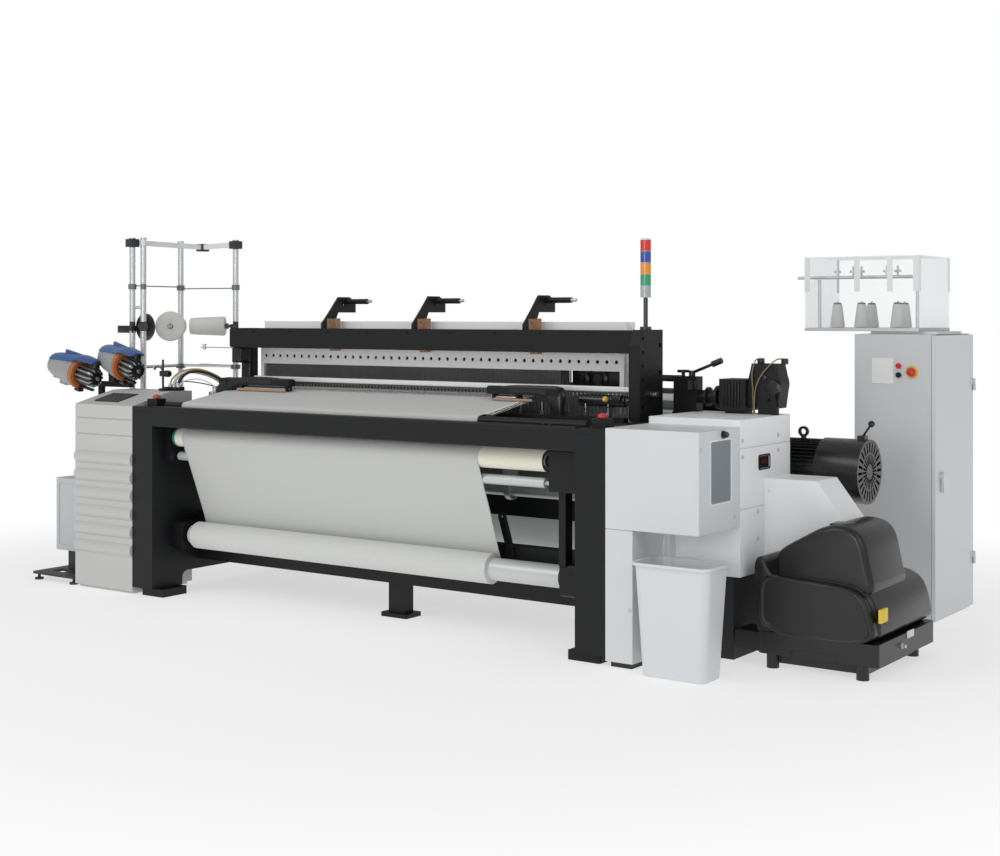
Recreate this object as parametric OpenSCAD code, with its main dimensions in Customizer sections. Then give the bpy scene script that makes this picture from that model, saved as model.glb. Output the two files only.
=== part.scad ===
// Air-jet power loom with weft feeders, yarn creel, cam box, control cabinet and waste bin.
// X runs along the width of the machine, Y from the cloth side to the warp side, Z up.
// The origin is on the floor, in the middle of the four anchor holes of the frame feet.
// Stations in depth are measured from the front face of the side frames with fy().

/* [Frame] */
// Clear width between the two side frames
frame_in_w = 2580; // [2500:10:2700]
// Thickness of each side frame
side_t = 150; // [120:5:180]
// Depth of the side frames from front to back
frame_depth = 1300; // [1290:10:1400]
// Height of the top of the side frames
frame_top = 980; // [975:1:990]
// Height of the foot blocks under the side frames
foot_h = 40; // [30:5:60]
// Wall left between a frame pocket and the loom inside
web_t = 28; // [20:2:40]
// Distance of the anchor holes from the front and back of the frame
anchor_inset = 110; // [90:5:140]
// Radius of the anchor holes
anchor_r = 9; // [7:0.5:11]
// Height of the front beam
front_beam_h = 103; // [90:1:110]
// Depth of the front beam
front_beam_d = 66; // [50:1:70]
// Sheet thickness of the front beam
beam_wall = 5; // [3:0.5:8]

/* [Cloth path] */
// Left edge of the cloth
cloth_x0 = -1160; // [-1170:5:-1140]
// Width of the cloth
cloth_w = 1883; // [1800:1:1900]
// Thickness of the cloth sheet
cloth_t = 1; // [0.8:0.1:1.4]
// Height of the cloth at the fell
fell_z = 1066; // [1060:1:1072]
// Station of the fell
fell_d = 470; // [455:1:475]
// Radius of the breast bar
breast_r = 20; // [16:1:22]
// Radius of the take-up roller
takeup_r = 47; // [42:1:50]
// Radius of the press roller
press_r = 22.5; // [18:0.5:26]
// Outer radius of the wound cloth
cloth_roll_r = 69; // [60:1:80]
// Radius of the cloth beam tube
cloth_beam_r = 51; // [45:1:55]
// Radius of the roller journals
journal_r = 15; // [12:1:18]

/* [Sley and reed] */
// Radius of the rocking shaft
rock_r = 30; // [25:1:34]
// Radius of the rocking shaft journals
rock_journal_r = 20; // [16:1:24]
// Height of the rocking shaft
rock_z = 620; // [600:5:640]
// Height of the top of the sley beam
sley_top = 988; // [980:1:995]
// Thickness of the reed
reed_t = 8; // [6:0.5:10]
// Height of the top of the reed under its cap
reed_top = 1105; // [1100:1:1115]
// Number of gaps shown in the reed
reed_gaps = 110; // [80:1:118]

/* [Heald frames] */
// Distance between neighbouring heald frames
heald_pitch = 30; // [26:1:30]
// Thickness of a heald frame
heald_t = 12; // [9:1:16]
// Height of a heald frame stave
stave_h = 120; // [100:5:125]
// Clear height between the staves
heald_window = 362; // [340:2:370]
// Travel of a heald frame
heald_stroke = 110; // [90:5:115]
// Number of round holes in the top stave
stave_holes = 44; // [30:1:46]
// Radius of the round holes
stave_hole_r = 9; // [6:0.5:11]
// Number of gaps shown between the healds
heald_gaps = 100; // [80:1:110]

/* [Warp side] */
// Radius of the warp beam flanges
flange_r = 345; // [320:5:345]
// Thickness of the warp beam flanges
flange_t = 18; // [14:1:24]
// Radius of the yarn on the warp beam
yarn_r = 300; // [220:5:305]
// Radius of the warp beam barrel
barrel_r = 90; // [75:5:110]
// Radius of the warp beam journals
beam_journal_r = 35; // [30:1:40]
// Height of the warp beam axis
beam_z = 560; // [540:5:580]
// Radius of the back rest roller
back_r = 55; // [45:1:60]
// Height of the back rest axis
back_z = 1020; // [1015:1:1030]

/* [Upper beam and signals] */
// Height of the underside of the upper beam
upper_z = 1280; // [1275:1:1300]
// Height of the upper beam section
upper_h = 105; // [95:1:108]
// Depth of the upper beam section
upper_d = 100; // [90:1:105]
// Radius of a signal lamp
lamp_r = 24; // [20:1:26]
// Height of one signal lamp
lamp_h = 50; // [45:1:55]
// Number of signal lamps
lamp_count = 5; // [3:1:6]

/* [Left cabinet and feeders] */
// Width of the left cabinet outside the side frame
left_cab_w = 450; // [420:5:480]
// Depth of the left cabinet
left_cab_d = 420; // [400:5:440]
// Depth of the sloping part of the console
slope_d = 256; // [220:2:280]
// Rise of the sloping part of the console
slope_h = 65; // [50:1:75]
// Number of rounded ribs around the left cabinet
rib_count = 6; // [4:1:7]
// Distance between the ribs
rib_pitch = 95; // [85:1:98]
// Height of one rib
rib_h = 66; // [50:2:80]
// How far a rib stands out
rib_out = 18; // [12:1:24]
// Radius of the winding ring of a weft feeder
ring_r = 87; // [80:1:92]
// Radius of the weft feeder drum
drum_r = 55; // [48:1:58]
// Length of the weft feeder drum
drum_l = 118; // [100:2:130]

/* [Creel] */
// Height of the creel posts
creel_h = 1900; // [1850:10:1950]
// Radius of the creel posts
post_r = 17; // [14:1:20]
// Radius of the large end of a creel cone
cone_r = 92; // [80:1:100]
// Length of a creel cone
cone_l = 170; // [150:5:180]

/* [Right side] */
// Width of the gear housing outside the side frame
housing_w = 435; // [420:5:450]
// Height of the top of the gear housing
housing_top = 1017; // [1005:1:1025]
// Height of the underside of the gear housing
housing_z0 = 360; // [340:5:380]
// Depth of the front box
front_box_d = 361; // [340:1:370]
// Depth of the gear housing behind the front box
housing_d = 490; // [480:5:500]
// Height of the top of the front box
front_box_top = 987; // [975:1:995]
// Height of the underside of the front box
front_box_z0 = 572; // [550:2:590]
// Width of the leg under the front box
leg_w = 130; // [110:5:140]
// Radius of the motor body over its fins
motor_r = 136; // [125:1:140]
// Radius of the fan cover
fan_cover_r = 143; // [138:1:150]
// Length of the finned motor body
motor_l = 371; // [340:1:390]
// Length of the fan cover
fan_cover_l = 193; // [180:1:210]
// Number of motor fins
fin_count = 44; // [32:4:52]
// Height of the motor axis
motor_z = 761; // [750:1:770]
// Height of the waste bin
bin_h = 460; // [430:5:480]
// Wall of the waste bin
bin_wall = 4; // [3:0.5:6]

/* [Control cabinet] */
// Width of the control cabinet
cab_w = 400; // [380:5:420]
// Depth of the control cabinet
cab_d = 539; // [520:1:560]
// Height of the control cabinet
cab_h = 1363; // [1350:1:1380]
// Wall of the control cabinet
cab_wall = 20; // [16:1:24]
// Thickness of the cabinet door
door_t = 18; // [14:1:20]
// Height of the acrylic cover
cover_h = 348; // [320:2:360]
// Thickness of the acrylic
cover_wall = 5; // [4:0.5:8]
// Travel of a push button
button_travel = 4; // [3:0.5:5]

/* [Fits] */
// Radial running clearance of a journal in its bore
fit = 0.05; // [0.03:0.01:0.08]
// Gap between curved faces that nearly touch
gap = 0.3; // [0.3:0.05:0.4]

/* [Hidden] */
$fn = 64;

// Frame lines
xin = frame_in_w / 2;
xout = xin + side_t;
front_y = -frame_depth / 2;
function fy(d) = front_y + d;
bore_depth = 60;
journal_len = bore_depth - gap;
foot_in = 55;
foot_x = xin - foot_in / 2;
foot_w = 163;
foot_len = 170;
column_d = 150;

// Stations of the shafts, each as [depth, height]
takeup_c = [134, 820];
press_angle = 40;
cloth_off = gap + cloth_t / 2;
press_c = takeup_c + (takeup_r + press_r + 2 * cloth_off) * [cos(press_angle), sin(press_angle)];
breast_c = [104, frame_top + 5];
roll_c = [205, 310];
rock_c = [600, rock_z];
beam_c = [1190, beam_z];
back_c = [1150, back_z];
cloth_x1 = cloth_x0 + cloth_w;
warp_x1 = cloth_x1 + 42;

// More stations and places along the machine
warp_end_d = 832;
cloth_stops = [
    [[fell_d, fell_z], 0, 1],
    [breast_c, breast_r + cloth_off, 1],
    [press_c, press_r + cloth_off, -1],
    [takeup_c, takeup_r + cloth_off, 1],
    [roll_c, cloth_roll_r + cloth_off, -1]];
warp_stops = [
    [beam_c, yarn_r + cloth_off, 1],
    [back_c, back_r + cloth_off, 1],
    [[warp_end_d, fell_z], 0, 1]];
arch_inset = 210;
arch_h = 70;
horn_r = 65;
centre_foot_x = 61;
stay_d0 = 330;
stay_dd = 70;
stay_z0 = 160;
stay_dz = 240;
rail_d0 = 400;
catch_t = 12;
catch_x = 690;
catch_z = 530;
button_x = 1365;
button_d = 100;
button_box_w = 72;
button_box_h = 38;
button_bore = 30;
button_stem_r = 8;
button_r = 13;
upper_x0 = -1290;
upper_corner = 14;
upper_x1 = 1258;
upper_d0 = 555;
upright_d0 = upper_d0 + upper_d;
upright_x1 = -1215;
plate_x1 = 1315;
panel_screws = 9;
screw_pitch = 265;
tower_x = 1286;
pole_h = 147;
lamp_colours = ["#3fae7a", "#3fae7a", "#f08a24", "#2f7fc1", "#d8362a"];
guide_xs = [-633, -31, 640];
guide_top = 1438;
heald_x0 = -1194;
heald_x1 = 1113;
heald_z0 = 710;
small_r = 10;
guide_r = 22.5;
guide_z = 722;
lug_t = 12;
pin_r = 4;
temple_r = 11;
temple_c = [420, cloth_z(420) + cloth_t / 2 + 2 * gap + 0.8 + temple_r];
temple_left = [-1040, -735];
temple_right = [590, 712];
shaft_x = 1255;
reed_x0 = -1095;
reed_x1 = 1250;
reed_d = 556;
wire_gaps = 60;
rib_z0 = 225;
unit_x1 = -xout - left_cab_w - rib_out - 2;
unit_z0 = 150;
unit_h = 400;
feeder_post_x = -2170;
feeder_bar_d = 418;
feeder_bar_z = 1050;
feeder_1 = [-2206, 300, 1128, 0];
feeder_2 = [-1885, 345, 1175, -12];
feeder_pitch = 12;
feeder_shaft_r = 8;
creel_posts = [[-2182, 655], [-2130, 692], [-2268, 1113], [-1870, 1182]];
creel_apex = [-2310, 1336];
cone_1 = [-2050, 825];
cone_2 = [-2022, 951];
cone_2_peg = [-1815, 1098];
cone_z = 1390;
knob_d = 205;
knob_z = 966;
knob_bore = 30;
knob_stem_r = 6;
motor_x0 = 1600;
motor_d = 1050;
motor_shaft_r = 14;
lever_x = 2131;
lever_z = 914;
lever_lean = 35;
lever_slot = 14;
cam_x0 = 1955;
cam_x1 = 2475;
cam_d0 = 360;
cam_d1 = 1000;
cam_split = 150;
coupling_x0 = 1842;
cam_low = 357;
cam_top = 583;
bin_x0 = 1614;
bin_x1 = 1952;
bin_d0 = -84;
bin_d1 = 124;
bin_foot = 24;
drive_d = 790;
drive_z = 1085;
lever_pivot_x = xout - 20;
cab_x0 = 1847;
cab_d0 = 1648;
door_gap = 2;
hinge_zs = [220, 1080];
red_at = [cab_x0 + 222, 1212];
black_at = [cab_x0 + 222, 1169];
estop_at = [cab_x0 + 286, 1184];
handle_d = cab_d0 + 73;
handle_z = 690;
handle_stem_r = 8;
cover_x0 = cab_x0 - 266;
cover_x1 = cover_x0 + 582;
cover_d0 = cab_d0 + 12;
cover_d1 = cover_d0 + 428;
cover_z0 = cab_h + 29;
post_row_d = cover_d0 + 90;
back_row_d = cover_d0 + 330;
selvedge_cones = [[cover_x0 + 135, post_row_d], [cover_x0 + 260, post_row_d], [cover_x0 + 444, post_row_d],
    [cover_x0 + 216, back_row_d], [cover_x0 + 388, back_row_d]];
selvedge_cone_r = 46;
selvedge_cone_h = 122;
post_bar_z = 1640;
hose_side = [0.35, 0.2, 0.9];
white_hose = [[-1520, fy(365), 1075], [-1530, fy(400), 1130], [-1500, fy(470), 1150], [-1440, fy(560), 1110],
    [-1400, fy(630), 1060], [-1380, fy(640), 1025]];
black_hose = [[-1490, fy(365), 1075], [-1480, fy(420), 1140], [-1430, fy(520), 1140], [-1370, fy(600), 1090],
    [-1350, fy(640), 1025]];
yellow_hose = [[-1550, fy(365), 1075], [-1580, fy(420), 1120], [-1540, fy(520), 1160], [-1450, fy(620), 1120],
    [-1410, fy(650), 1070], [-1402, fy(650), 1025]];

// The guide roller lies just behind the straight run of cloth from the take-up roller to the roll
run_head = heading([takeup_c, takeup_r + cloth_off, 1], [roll_c, cloth_roll_r + cloth_off, -1]);
run_start = takeup_c + (takeup_r + cloth_off) * [cos(run_head - 90), sin(run_head - 90)];
guide_c = [run_start[0] + (guide_z - run_start[1]) / tan(run_head)
    + (guide_r + cloth_off + gap) / abs(sin(run_head)), guide_z];

// Roller ends
takeup_x0 = -xin + 55;
takeup_x1 = 1070;
block_left_x = -xin + 40;
block_right_x = 1100;
beam_tube_x0 = -xin + 95;
beam_tube_x1 = 1105;
beam_block_left_x = -xin + 75;
beam_block_right_x = 1125;

// Helpers that carry a flat outline along X or along Y
module along_x(x0, x1) {
    translate([x0, 0, 0]) rotate([90, 0, 90]) linear_extrude(x1 - x0) children();
}
module along_y(d0, d1) {
    translate([0, fy(d1), 0]) rotate([90, 0, 0]) linear_extrude(d1 - d0) children();
}
module xcyl(x0, x1, c, r) {
    translate([x0, fy(c[0]), c[1]]) rotate([0, 90, 0]) cylinder(h = x1 - x0, r = r);
}
module box(x0, x1, d0, d1, z0, z1) {
    translate([x0, fy(d0), z0]) cube([x1 - x0, d1 - d0, z1 - z0]);
}
module round_rect(x0, y0, x1, y1, r) {
    translate([x0 + r, y0]) square([x1 - x0 - 2 * r, y1 - y0]);
    translate([x0, y0 + r]) square([x1 - x0, y1 - y0 - 2 * r]);
    for (x = [x0 + r, x1 - r], y = [y0 + r, y1 - r]) translate([x, y]) circle(r = r);
}
module plate_z(x0, x1, d0, d1, z0, z1, r) {
    translate([0, 0, z0]) linear_extrude(z1 - z0) round_rect(x0, fy(d0), x1, fy(d1), r);
}

// A sheet runs over rollers: each stop is [centre, radius, turn], turn 1 counter-clockwise
function heading(a, b) = atan2(b[0][1] - a[0][1], b[0][0] - a[0][0])
    + asin(max(-1, min(1, (a[2] * a[1] - b[2] * b[1]) / norm(b[0] - a[0]))));
function contact(stop, head) = head - 90 * stop[2];
function full_turn(a) = a - 360 * floor(a / 360);
function unwrap(from, to, turn) = from + turn * full_turn(turn * (to - from));
arc_step = 8;
function arc_side(stop, a0, a1, side) = let(
    n = ceil(abs(a1 - a0) / arc_step),
    r = stop[1] - side * stop[2])
    [for (i = [0:n]) let(a = a0 + (a1 - a0) * i / max(1, n))
        [fy(stop[0][0]) + r * cos(a), stop[0][1] + r * sin(a)]];

function cloth_z(d) = fell_z + (d - fell_d) * tan(heading(cloth_stops[0], cloth_stops[1]));

// The edge of a sheet on one side of its middle line, and the whole sheet as an outline
function lane(stops, side) = [for (i = [0:len(stops) - 1]) let(
    last = len(stops) - 1,
    head_in = i > 0 ? heading(stops[i - 1], stops[i]) : heading(stops[0], stops[1]),
    head_out = i < last ? heading(stops[i], stops[i + 1]) : head_in,
    a0 = contact(stops[i], head_in),
    a1 = unwrap(a0, contact(stops[i], head_out), stops[i][2]))
    each arc_side(stops[i], a0, a1, side)];
function backwards(list) = [for (i = [len(list) - 1:-1:0]) list[i]];
module ribbon(stops, thick) {
    polygon(concat(lane(stops, thick / 2), backwards(lane(stops, -thick / 2))));
}

// Frame, feet and beams
module side_outline() {
    difference() {
        translate([fy(0), foot_h]) square([frame_depth, frame_top - foot_h]);
        round_rect(fy(arch_inset), foot_h - arch_h, fy(frame_depth - arch_inset), foot_h + arch_h, 35);
    }
    translate([fy(back_c[0]) - horn_r, frame_top - 1]) square([2 * horn_r, back_z - frame_top + 1]);
    translate([fy(back_c[0]), back_z]) circle(r = horn_r);
}
module side_frame() {
    difference() {
        along_x(xin, xout) side_outline();
        along_x(xin + web_t, xout + 1) {
            round_rect(fy(60), 190, fy(520), 640, 60);
            round_rect(fy(60), 700, fy(520), 920, 40);
            round_rect(fy(690), 190, fy(1060), 470, 60);
            round_rect(fy(690), 530, fy(1060), 920, 60);
        }
        xcyl(xin - 1, xin + bore_depth, rock_c, rock_journal_r + fit);
        xcyl(xin - 1, xin + bore_depth, beam_c, beam_journal_r + fit);
        xcyl(xin - 1, xin + bore_depth, back_c, journal_r + fit);
    }
}
module button_box(x) {
    difference() {
        plate_z(x - button_box_w / 2, x + button_box_w / 2, button_d - button_box_w / 2,
            button_d + button_box_w / 2, frame_top, frame_top + button_box_h, 8);
        translate([x, fy(button_d), frame_top + button_box_h - button_bore])
            cylinder(h = button_bore + 1, r = button_stem_r + fit);
    }
}
module left_side_frame() {
    color([0.16, 0.16, 0.18]) {
        mirror([1, 0, 0]) side_frame();
        button_box(-button_x);
    }
}
module right_side_frame() {
    color([0.16, 0.16, 0.18]) {
        side_frame();
        button_box(button_x);
    }
}
module foot() {
    difference() {
        plate_z(xin - foot_in, xin - foot_in + foot_w, anchor_inset - foot_len / 2,
            anchor_inset + foot_len / 2, 0, foot_h, 12);
        translate([foot_x, fy(anchor_inset), -1]) cylinder(h = foot_h + 2, r = anchor_r);
    }
}
module frame_feet() {
    color([0.12, 0.12, 0.13]) {
        for (side = [0, 1], end = [0, 1])
            mirror([side, 0, 0]) mirror([0, end, 0]) foot();
        plate_z(centre_foot_x - 80, centre_foot_x + 80, stay_d0 - 25, stay_d0 + stay_dd + 25, 0, 20, 10);
        box(centre_foot_x - 48, centre_foot_x + 48, stay_d0, stay_d0 + stay_dd, 20, stay_z0);
    }
}
module front_beam() {
    color([0.15, 0.15, 0.17]) {
        along_x(-xin, xin) difference() {
            round_rect(fy(0), frame_top + 3 - front_beam_h, fy(front_beam_d), frame_top + 3, 8);
            round_rect(fy(beam_wall), frame_top + 3 - front_beam_h + beam_wall,
                fy(front_beam_d - beam_wall), frame_top + 3 - beam_wall, 4);
        }
    }
    color([0.75, 0.76, 0.78]) xcyl(-xin, xin, breast_c, breast_r);
}
module channel(d0, z0, dd, dz, wall) {
    along_x(-xin, xin) difference() {
        translate([fy(d0), z0]) square([dd, dz]);
        translate([fy(d0) + wall, z0 + wall]) square([dd, dz - 2 * wall]);
    }
}
module tube_x(d0, z0, dd, dz, wall) {
    along_x(-xin, xin) difference() {
        translate([fy(d0), z0]) square([dd, dz]);
        translate([fy(d0) + wall, z0 + wall]) square([dd - 2 * wall, dz - 2 * wall]);
    }
}
module stay_catch() {
    along_y(stay_d0 - catch_t, stay_d0) {
        difference() {
            union() {
                translate([catch_x, catch_z]) circle(r = 20);
                polygon([[catch_x - 20, catch_z], [catch_x + 20, catch_z],
                    [catch_x + 75, stay_z0 + 190], [catch_x + 35, stay_z0 + 190]]);
            }
            translate([catch_x, catch_z]) circle(r = 7);
        }
    }
}
module cross_stays() {
    color([0.14, 0.14, 0.16]) {
        channel(stay_d0, stay_z0, stay_dd, stay_dz, 8);
        tube_x(rail_d0, frame_top - 20, 40, 40, 4);
        tube_x(700, 480, 80, 100, 5);
        tube_x(870, 850, 60, 60, 4);
        stay_catch();
    }
}
module upper_beam() {
    nose = upper_x0 + upper_h;
    color([0.12, 0.12, 0.14]) {
        difference() {
            along_y(upper_d0, upper_d0 + upper_d) {
                round_rect(upper_x0, upper_z, nose, upper_z + upper_h, upper_corner);
                translate([nose - upper_corner, upper_z]) square([upper_x1 - nose + upper_corner, upper_h]);
            }
            box(upper_x0 + upper_h, upper_x1 + 1, upper_d0 + 8, upper_d0 + upper_d - 8,
                upper_z + 8, upper_z + upper_h - 8);
            for (i = [0:panel_screws - 1])
                translate([upper_x0 + 180 + i * screw_pitch, fy(upper_d0) - 1, upper_z + upper_h - 18])
                    rotate([-90, 0, 0]) cylinder(h = 6, r = 5);
        }
        along_y(upright_d0, upright_d0 + 42)
            polygon([[-xin, 900], [upright_x1, 900], [upright_x1, upper_z + upper_h],
                [upper_x0 - 8, upper_z + upper_h], [upper_x0 - 8, frame_top], [-xin, frame_top]]);
        along_x(upper_x1, plate_x1) difference() {
            polygon([[fy(497), frame_top], [fy(705), frame_top], [fy(705), 1388], [fy(535), 1388],
                [fy(497), 1320]]);
            for (z = [1040:62:1350]) translate([fy(525), z]) circle(r = 8);
            for (z = [1070:124:1320]) translate([fy(680), z]) circle(r = 11);
        }
    }
    color([0.7, 0.71, 0.73]) {
        xcyl(plate_x1, plate_x1 + 30, [600, 1098], 12);
        box(plate_x1 + 18, plate_x1 + 28, 575, 625, 1092, 1104);
    }
}
module light_tower() {
    tower_z = 1388;
    translate([tower_x, fy(600), tower_z]) {
        color([0.8, 0.8, 0.82]) {
            cylinder(h = 14, r = 26);
            cylinder(h = pole_h, r = 10);
        }
        for (i = [0:lamp_count - 1]) {
            color(lamp_colours[i % len(lamp_colours)]) translate([0, 0, pole_h + i * (lamp_h + 2)])
                cylinder(h = lamp_h, r = lamp_r);
            color([0.9, 0.9, 0.9]) translate([0, 0, pole_h - 2 + i * (lamp_h + 2)])
                cylinder(h = 2, r = lamp_r - 2);
        }
        color([0.85, 0.85, 0.87]) translate([0, 0, pole_h + lamp_count * (lamp_h + 2) - 2])
            cylinder(h = 8, r1 = lamp_r, r2 = lamp_r - 6, $fn = 32);
    }
}
module heald_bracket(x) {
    arm_z = upper_z + upper_h;
    color([0.1, 0.1, 0.11]) {
        along_x(x - 8, x + 8) difference() {
            polygon([[fy(570), arm_z], [fy(655), arm_z], [fy(675), guide_top], [fy(690), guide_top + 30],
                [fy(830), guide_top + 30], [fy(830), guide_top + 85], [fy(780), guide_top + 112],
                [fy(700), guide_top + 112], [fy(640), guide_top + 45], [fy(570), arm_z + 25]]);
            translate([fy(625), arm_z + 32]) circle(r = 8);
            translate([fy(740), guide_top + 70]) circle(r = 10);
        }
        xcyl(x + 8, x + 150, [760, guide_top + 88], 14);
    }
    color([0.75, 0.76, 0.78]) xcyl(x + 150, x + 175, [760, guide_top + 88], 8);
    color([0.55, 0.38, 0.28]) {
        box(x - 22, x + 22, upper_d0 + upper_d, 690, guide_top - 170, guide_top);
        box(x - 22, x - 8, upper_d0 + upper_d + 5, 690, guide_top, guide_top + 40);
    }
}
module side_guide(x0, x1, edge, out) {
    lo = min(edge, edge + out);
    difference() {
        box(x0, x1, 698, 698 + 3 * heald_pitch + 34, frame_top - 120, frame_top - 10);
        for (k = [0:3])
            box(lo - gap, lo + abs(out) + gap, heald_d(k) - heald_t / 2 - gap, heald_d(k) + heald_t / 2 + gap,
                frame_top - 121, frame_top - 9);
    }
}
module heald_guides() {
    for (x = guide_xs) heald_bracket(x);
    color([0.5, 0.35, 0.25]) {
        side_guide(-xin, heald_x0 + 14, heald_x0 + 15, -15);
        side_guide(heald_x1 - 14, xin, heald_x1 - 15, 15);
    }
}

// Cloth, rollers and their bearings
module cloth() {
    color([0.93, 0.93, 0.9]) along_x(cloth_x0, cloth_x1) ribbon(cloth_stops, cloth_t);
}
module roller(x0, x1, c, r, j0, j1, jr) {
    xcyl(x0, x1, c, r);
    xcyl(j0, x0 + 1, c, jr);
    xcyl(x1 - 1, j1, c, jr);
}
module takeup_roller() {
    color([0.93, 0.92, 0.82]) difference() {
        roller(takeup_x0, takeup_x1, takeup_c, takeup_r, -xin + gap, block_right_x + journal_len, journal_r);
        translate([takeup_x1 - 25, fy(takeup_c[0]), takeup_c[1]]) rotate([0, 90, 0]) difference() {
            cylinder(h = 26, r = takeup_r - 6);
            cylinder(h = 26, r = journal_r + 8);
        }
    }
}
module press_roller() {
    color([0.3, 0.3, 0.32])
        roller(takeup_x0, takeup_x1, press_c, press_r, -xin + gap, block_right_x + journal_len, small_r);
}
module guide_roller() {
    color([0.82, 0.83, 0.85])
        roller(takeup_x0, takeup_x1 - 20, guide_c, guide_r, -xin + gap, block_right_x + journal_len, small_r);
}
module cloth_beam() {
    color([0.9, 0.9, 0.9])
        roller(beam_tube_x0, beam_tube_x1, roll_c, cloth_beam_r, beam_block_left_x - journal_len,
            beam_block_right_x + journal_len, journal_r);
}
module cloth_roll() {
    color([0.95, 0.95, 0.93]) difference() {
        xcyl(cloth_x0, cloth_x1, roll_c, cloth_roll_r);
        xcyl(cloth_x0 - 1, cloth_x1 + 1, roll_c, cloth_beam_r + gap);
    }
}
module roller_bores(x0, x1) {
    xcyl(x0, x1, takeup_c, journal_r + fit);
    xcyl(x0, x1, press_c, small_r + fit);
    xcyl(x0, x1, guide_c, small_r + fit);
}
module roller_block_outline() {
    round_rect(fy(takeup_c[0] - 45), guide_c[1] - 32, fy(press_c[0] + 32), press_c[1] + 14, 14);
}
module beam_block_outline() {
    round_rect(fy(roll_c[0] - 70), roll_c[1] - 75, fy(roll_c[0] + 70), roll_c[1] + 70, 22);
}
module roller_brackets() {
    color([0.13, 0.13, 0.14]) {
        difference() {
            along_x(-xin, block_left_x) roller_block_outline();
            roller_bores(-xin - 1, block_left_x + 1);
        }
        difference() {
            along_x(-xin, beam_block_left_x) beam_block_outline();
            xcyl(beam_block_left_x - bore_depth, beam_block_left_x + 1, roll_c, journal_r + fit);
        }
        difference() {
            union() {
                along_x(block_right_x, xin) roller_block_outline();
                along_x(beam_block_right_x, xin) beam_block_outline();
                box(beam_block_right_x, beam_block_right_x + 35, 130, 185, roll_c[1] + 60, guide_c[1]);
            }
            roller_bores(block_right_x - 1, block_right_x + bore_depth);
            xcyl(beam_block_right_x - 1, beam_block_right_x + bore_depth, roll_c, journal_r + fit);
        }
    }
}

// Temples hold the cloth edges just before the fell
module temple(leg_x0, leg_x1, bar_x0, bar_x1, r0, r1) {
    lug_z = cloth_z(temple_c[0] - 25) + cloth_t;
    difference() {
        union() {
            along_x(bar_x0, bar_x1) polygon([[fy(395), temple_c[1] + 16], [fy(446), temple_c[1] + 16],
                [fy(446), temple_c[1] + 42], [fy(430), temple_c[1] + 54], [fy(405), temple_c[1] + 54],
                [fy(395), temple_c[1] + 46]]);
            for (x = [r0 - lug_t - gap, r1 + gap])
                along_x(x, x + lug_t) translate([fy(temple_c[0] - 20), temple_c[1] - 9]) square([40, 40]);
            box(leg_x0, leg_x1, 402, 438, frame_top + 20, temple_c[1] + 50);
            box(min(leg_x0, bar_x0), max(leg_x1, bar_x0), 402, 438, temple_c[1] + 20, temple_c[1] + 50);
        }
        xcyl(r0 - lug_t - 1, r1 + lug_t + 1, temple_c, pin_r + fit);
    }
}
module temples() {
    color([0.1, 0.1, 0.11]) {
        temple(-1215, -1170, -1168, temple_left[1] + 30, temple_left[0], temple_left[1]);
        temple(900, 950, temple_right[0] - 40, 952, temple_right[0], temple_right[1]);
    }
}
module temple_rollers() {
    color([0.65, 0.66, 0.68])
        for (span = [temple_left, temple_right]) {
            xcyl(span[0], span[1], temple_c, temple_r);
            xcyl(span[0] - lug_t, span[1] + lug_t, temple_c, pin_r);
            for (x = [span[0] + 8:12:span[1] - 8]) xcyl(x, x + 4, temple_c, temple_r + 0.8);
        }
}

// Sley with its rocking shaft, reed and air nozzles
module sword() {
    difference() {
        polygon([[fy(rock_c[0] - 48), rock_z], [fy(rock_c[0] + 48), rock_z], [fy(588), sley_top - 68],
            [fy(532), sley_top - 68]]);
        translate([fy(566), rock_z + 170]) circle(r = 16);
    }
    translate([fy(rock_c[0]), rock_z]) circle(r = 48);
}
module sley() {
    color([0.45, 0.46, 0.48]) {
        xcyl(-shaft_x, shaft_x, rock_c, rock_r);
        xcyl(-xin - journal_len, -shaft_x + 1, rock_c, rock_journal_r);
        xcyl(shaft_x - 1, xin + journal_len, rock_c, rock_journal_r);
        for (x = [-1100:550:1100]) along_x(x - 15, x + 15) sword();
    }
    color([0.72, 0.73, 0.75]) along_x(-shaft_x, shaft_x) difference() {
        round_rect(fy(530), sley_top - 68, fy(590), sley_top, 6);
        translate([fy(522), sley_top - 44]) square([18, 14]);
        translate([fy(545), sley_top - 56]) square([32, 34]);
    }
}
module reed() {
    slot_h = reed_top - sley_top - 26;
    reed_pitch = (reed_x1 - reed_x0 - 24) / reed_gaps;
    color([0.55, 0.56, 0.58]) difference() {
        box(reed_x0, reed_x1, reed_d - reed_t / 2, reed_d + reed_t / 2, sley_top, reed_top);
        for (i = [0:reed_gaps - 1])
            box(reed_x0 + 12 + i * reed_pitch, reed_x0 + 12 + (i + 0.55) * reed_pitch, reed_d - reed_t,
                reed_d + reed_t, sley_top + 18, sley_top + 18 + slot_h);
    }
    color([0.92, 0.93, 0.94]) along_x(reed_x0, reed_x1)
        round_rect(fy(reed_d - 13), reed_top, fy(reed_d + 17), reed_top + 25, 6);
    color([0.72, 0.73, 0.75]) box(reed_x0, reed_x1, reed_d + reed_t / 2, reed_d + reed_t / 2 + 10,
        sley_top, sley_top + 16);
}
module nozzles() {
    color([0.7, 0.71, 0.73]) {
        for (x = [reed_x0 + 60:120:reed_x1 - 60]) {
            box(x - 7, x + 7, 532, 546, sley_top, sley_top + 22);
            translate([x, fy(539), sley_top + 22]) cylinder(h = 42, r = 3);
        }
        box(-1240, -1190, 532, 566, sley_top, sley_top + 90);
        xcyl(-1330, reed_x0 - 12, [549, sley_top + 76], 8);
        xcyl(-1290, reed_x0 - 40, [540, sley_top + 58], 6);
    }
}

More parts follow.
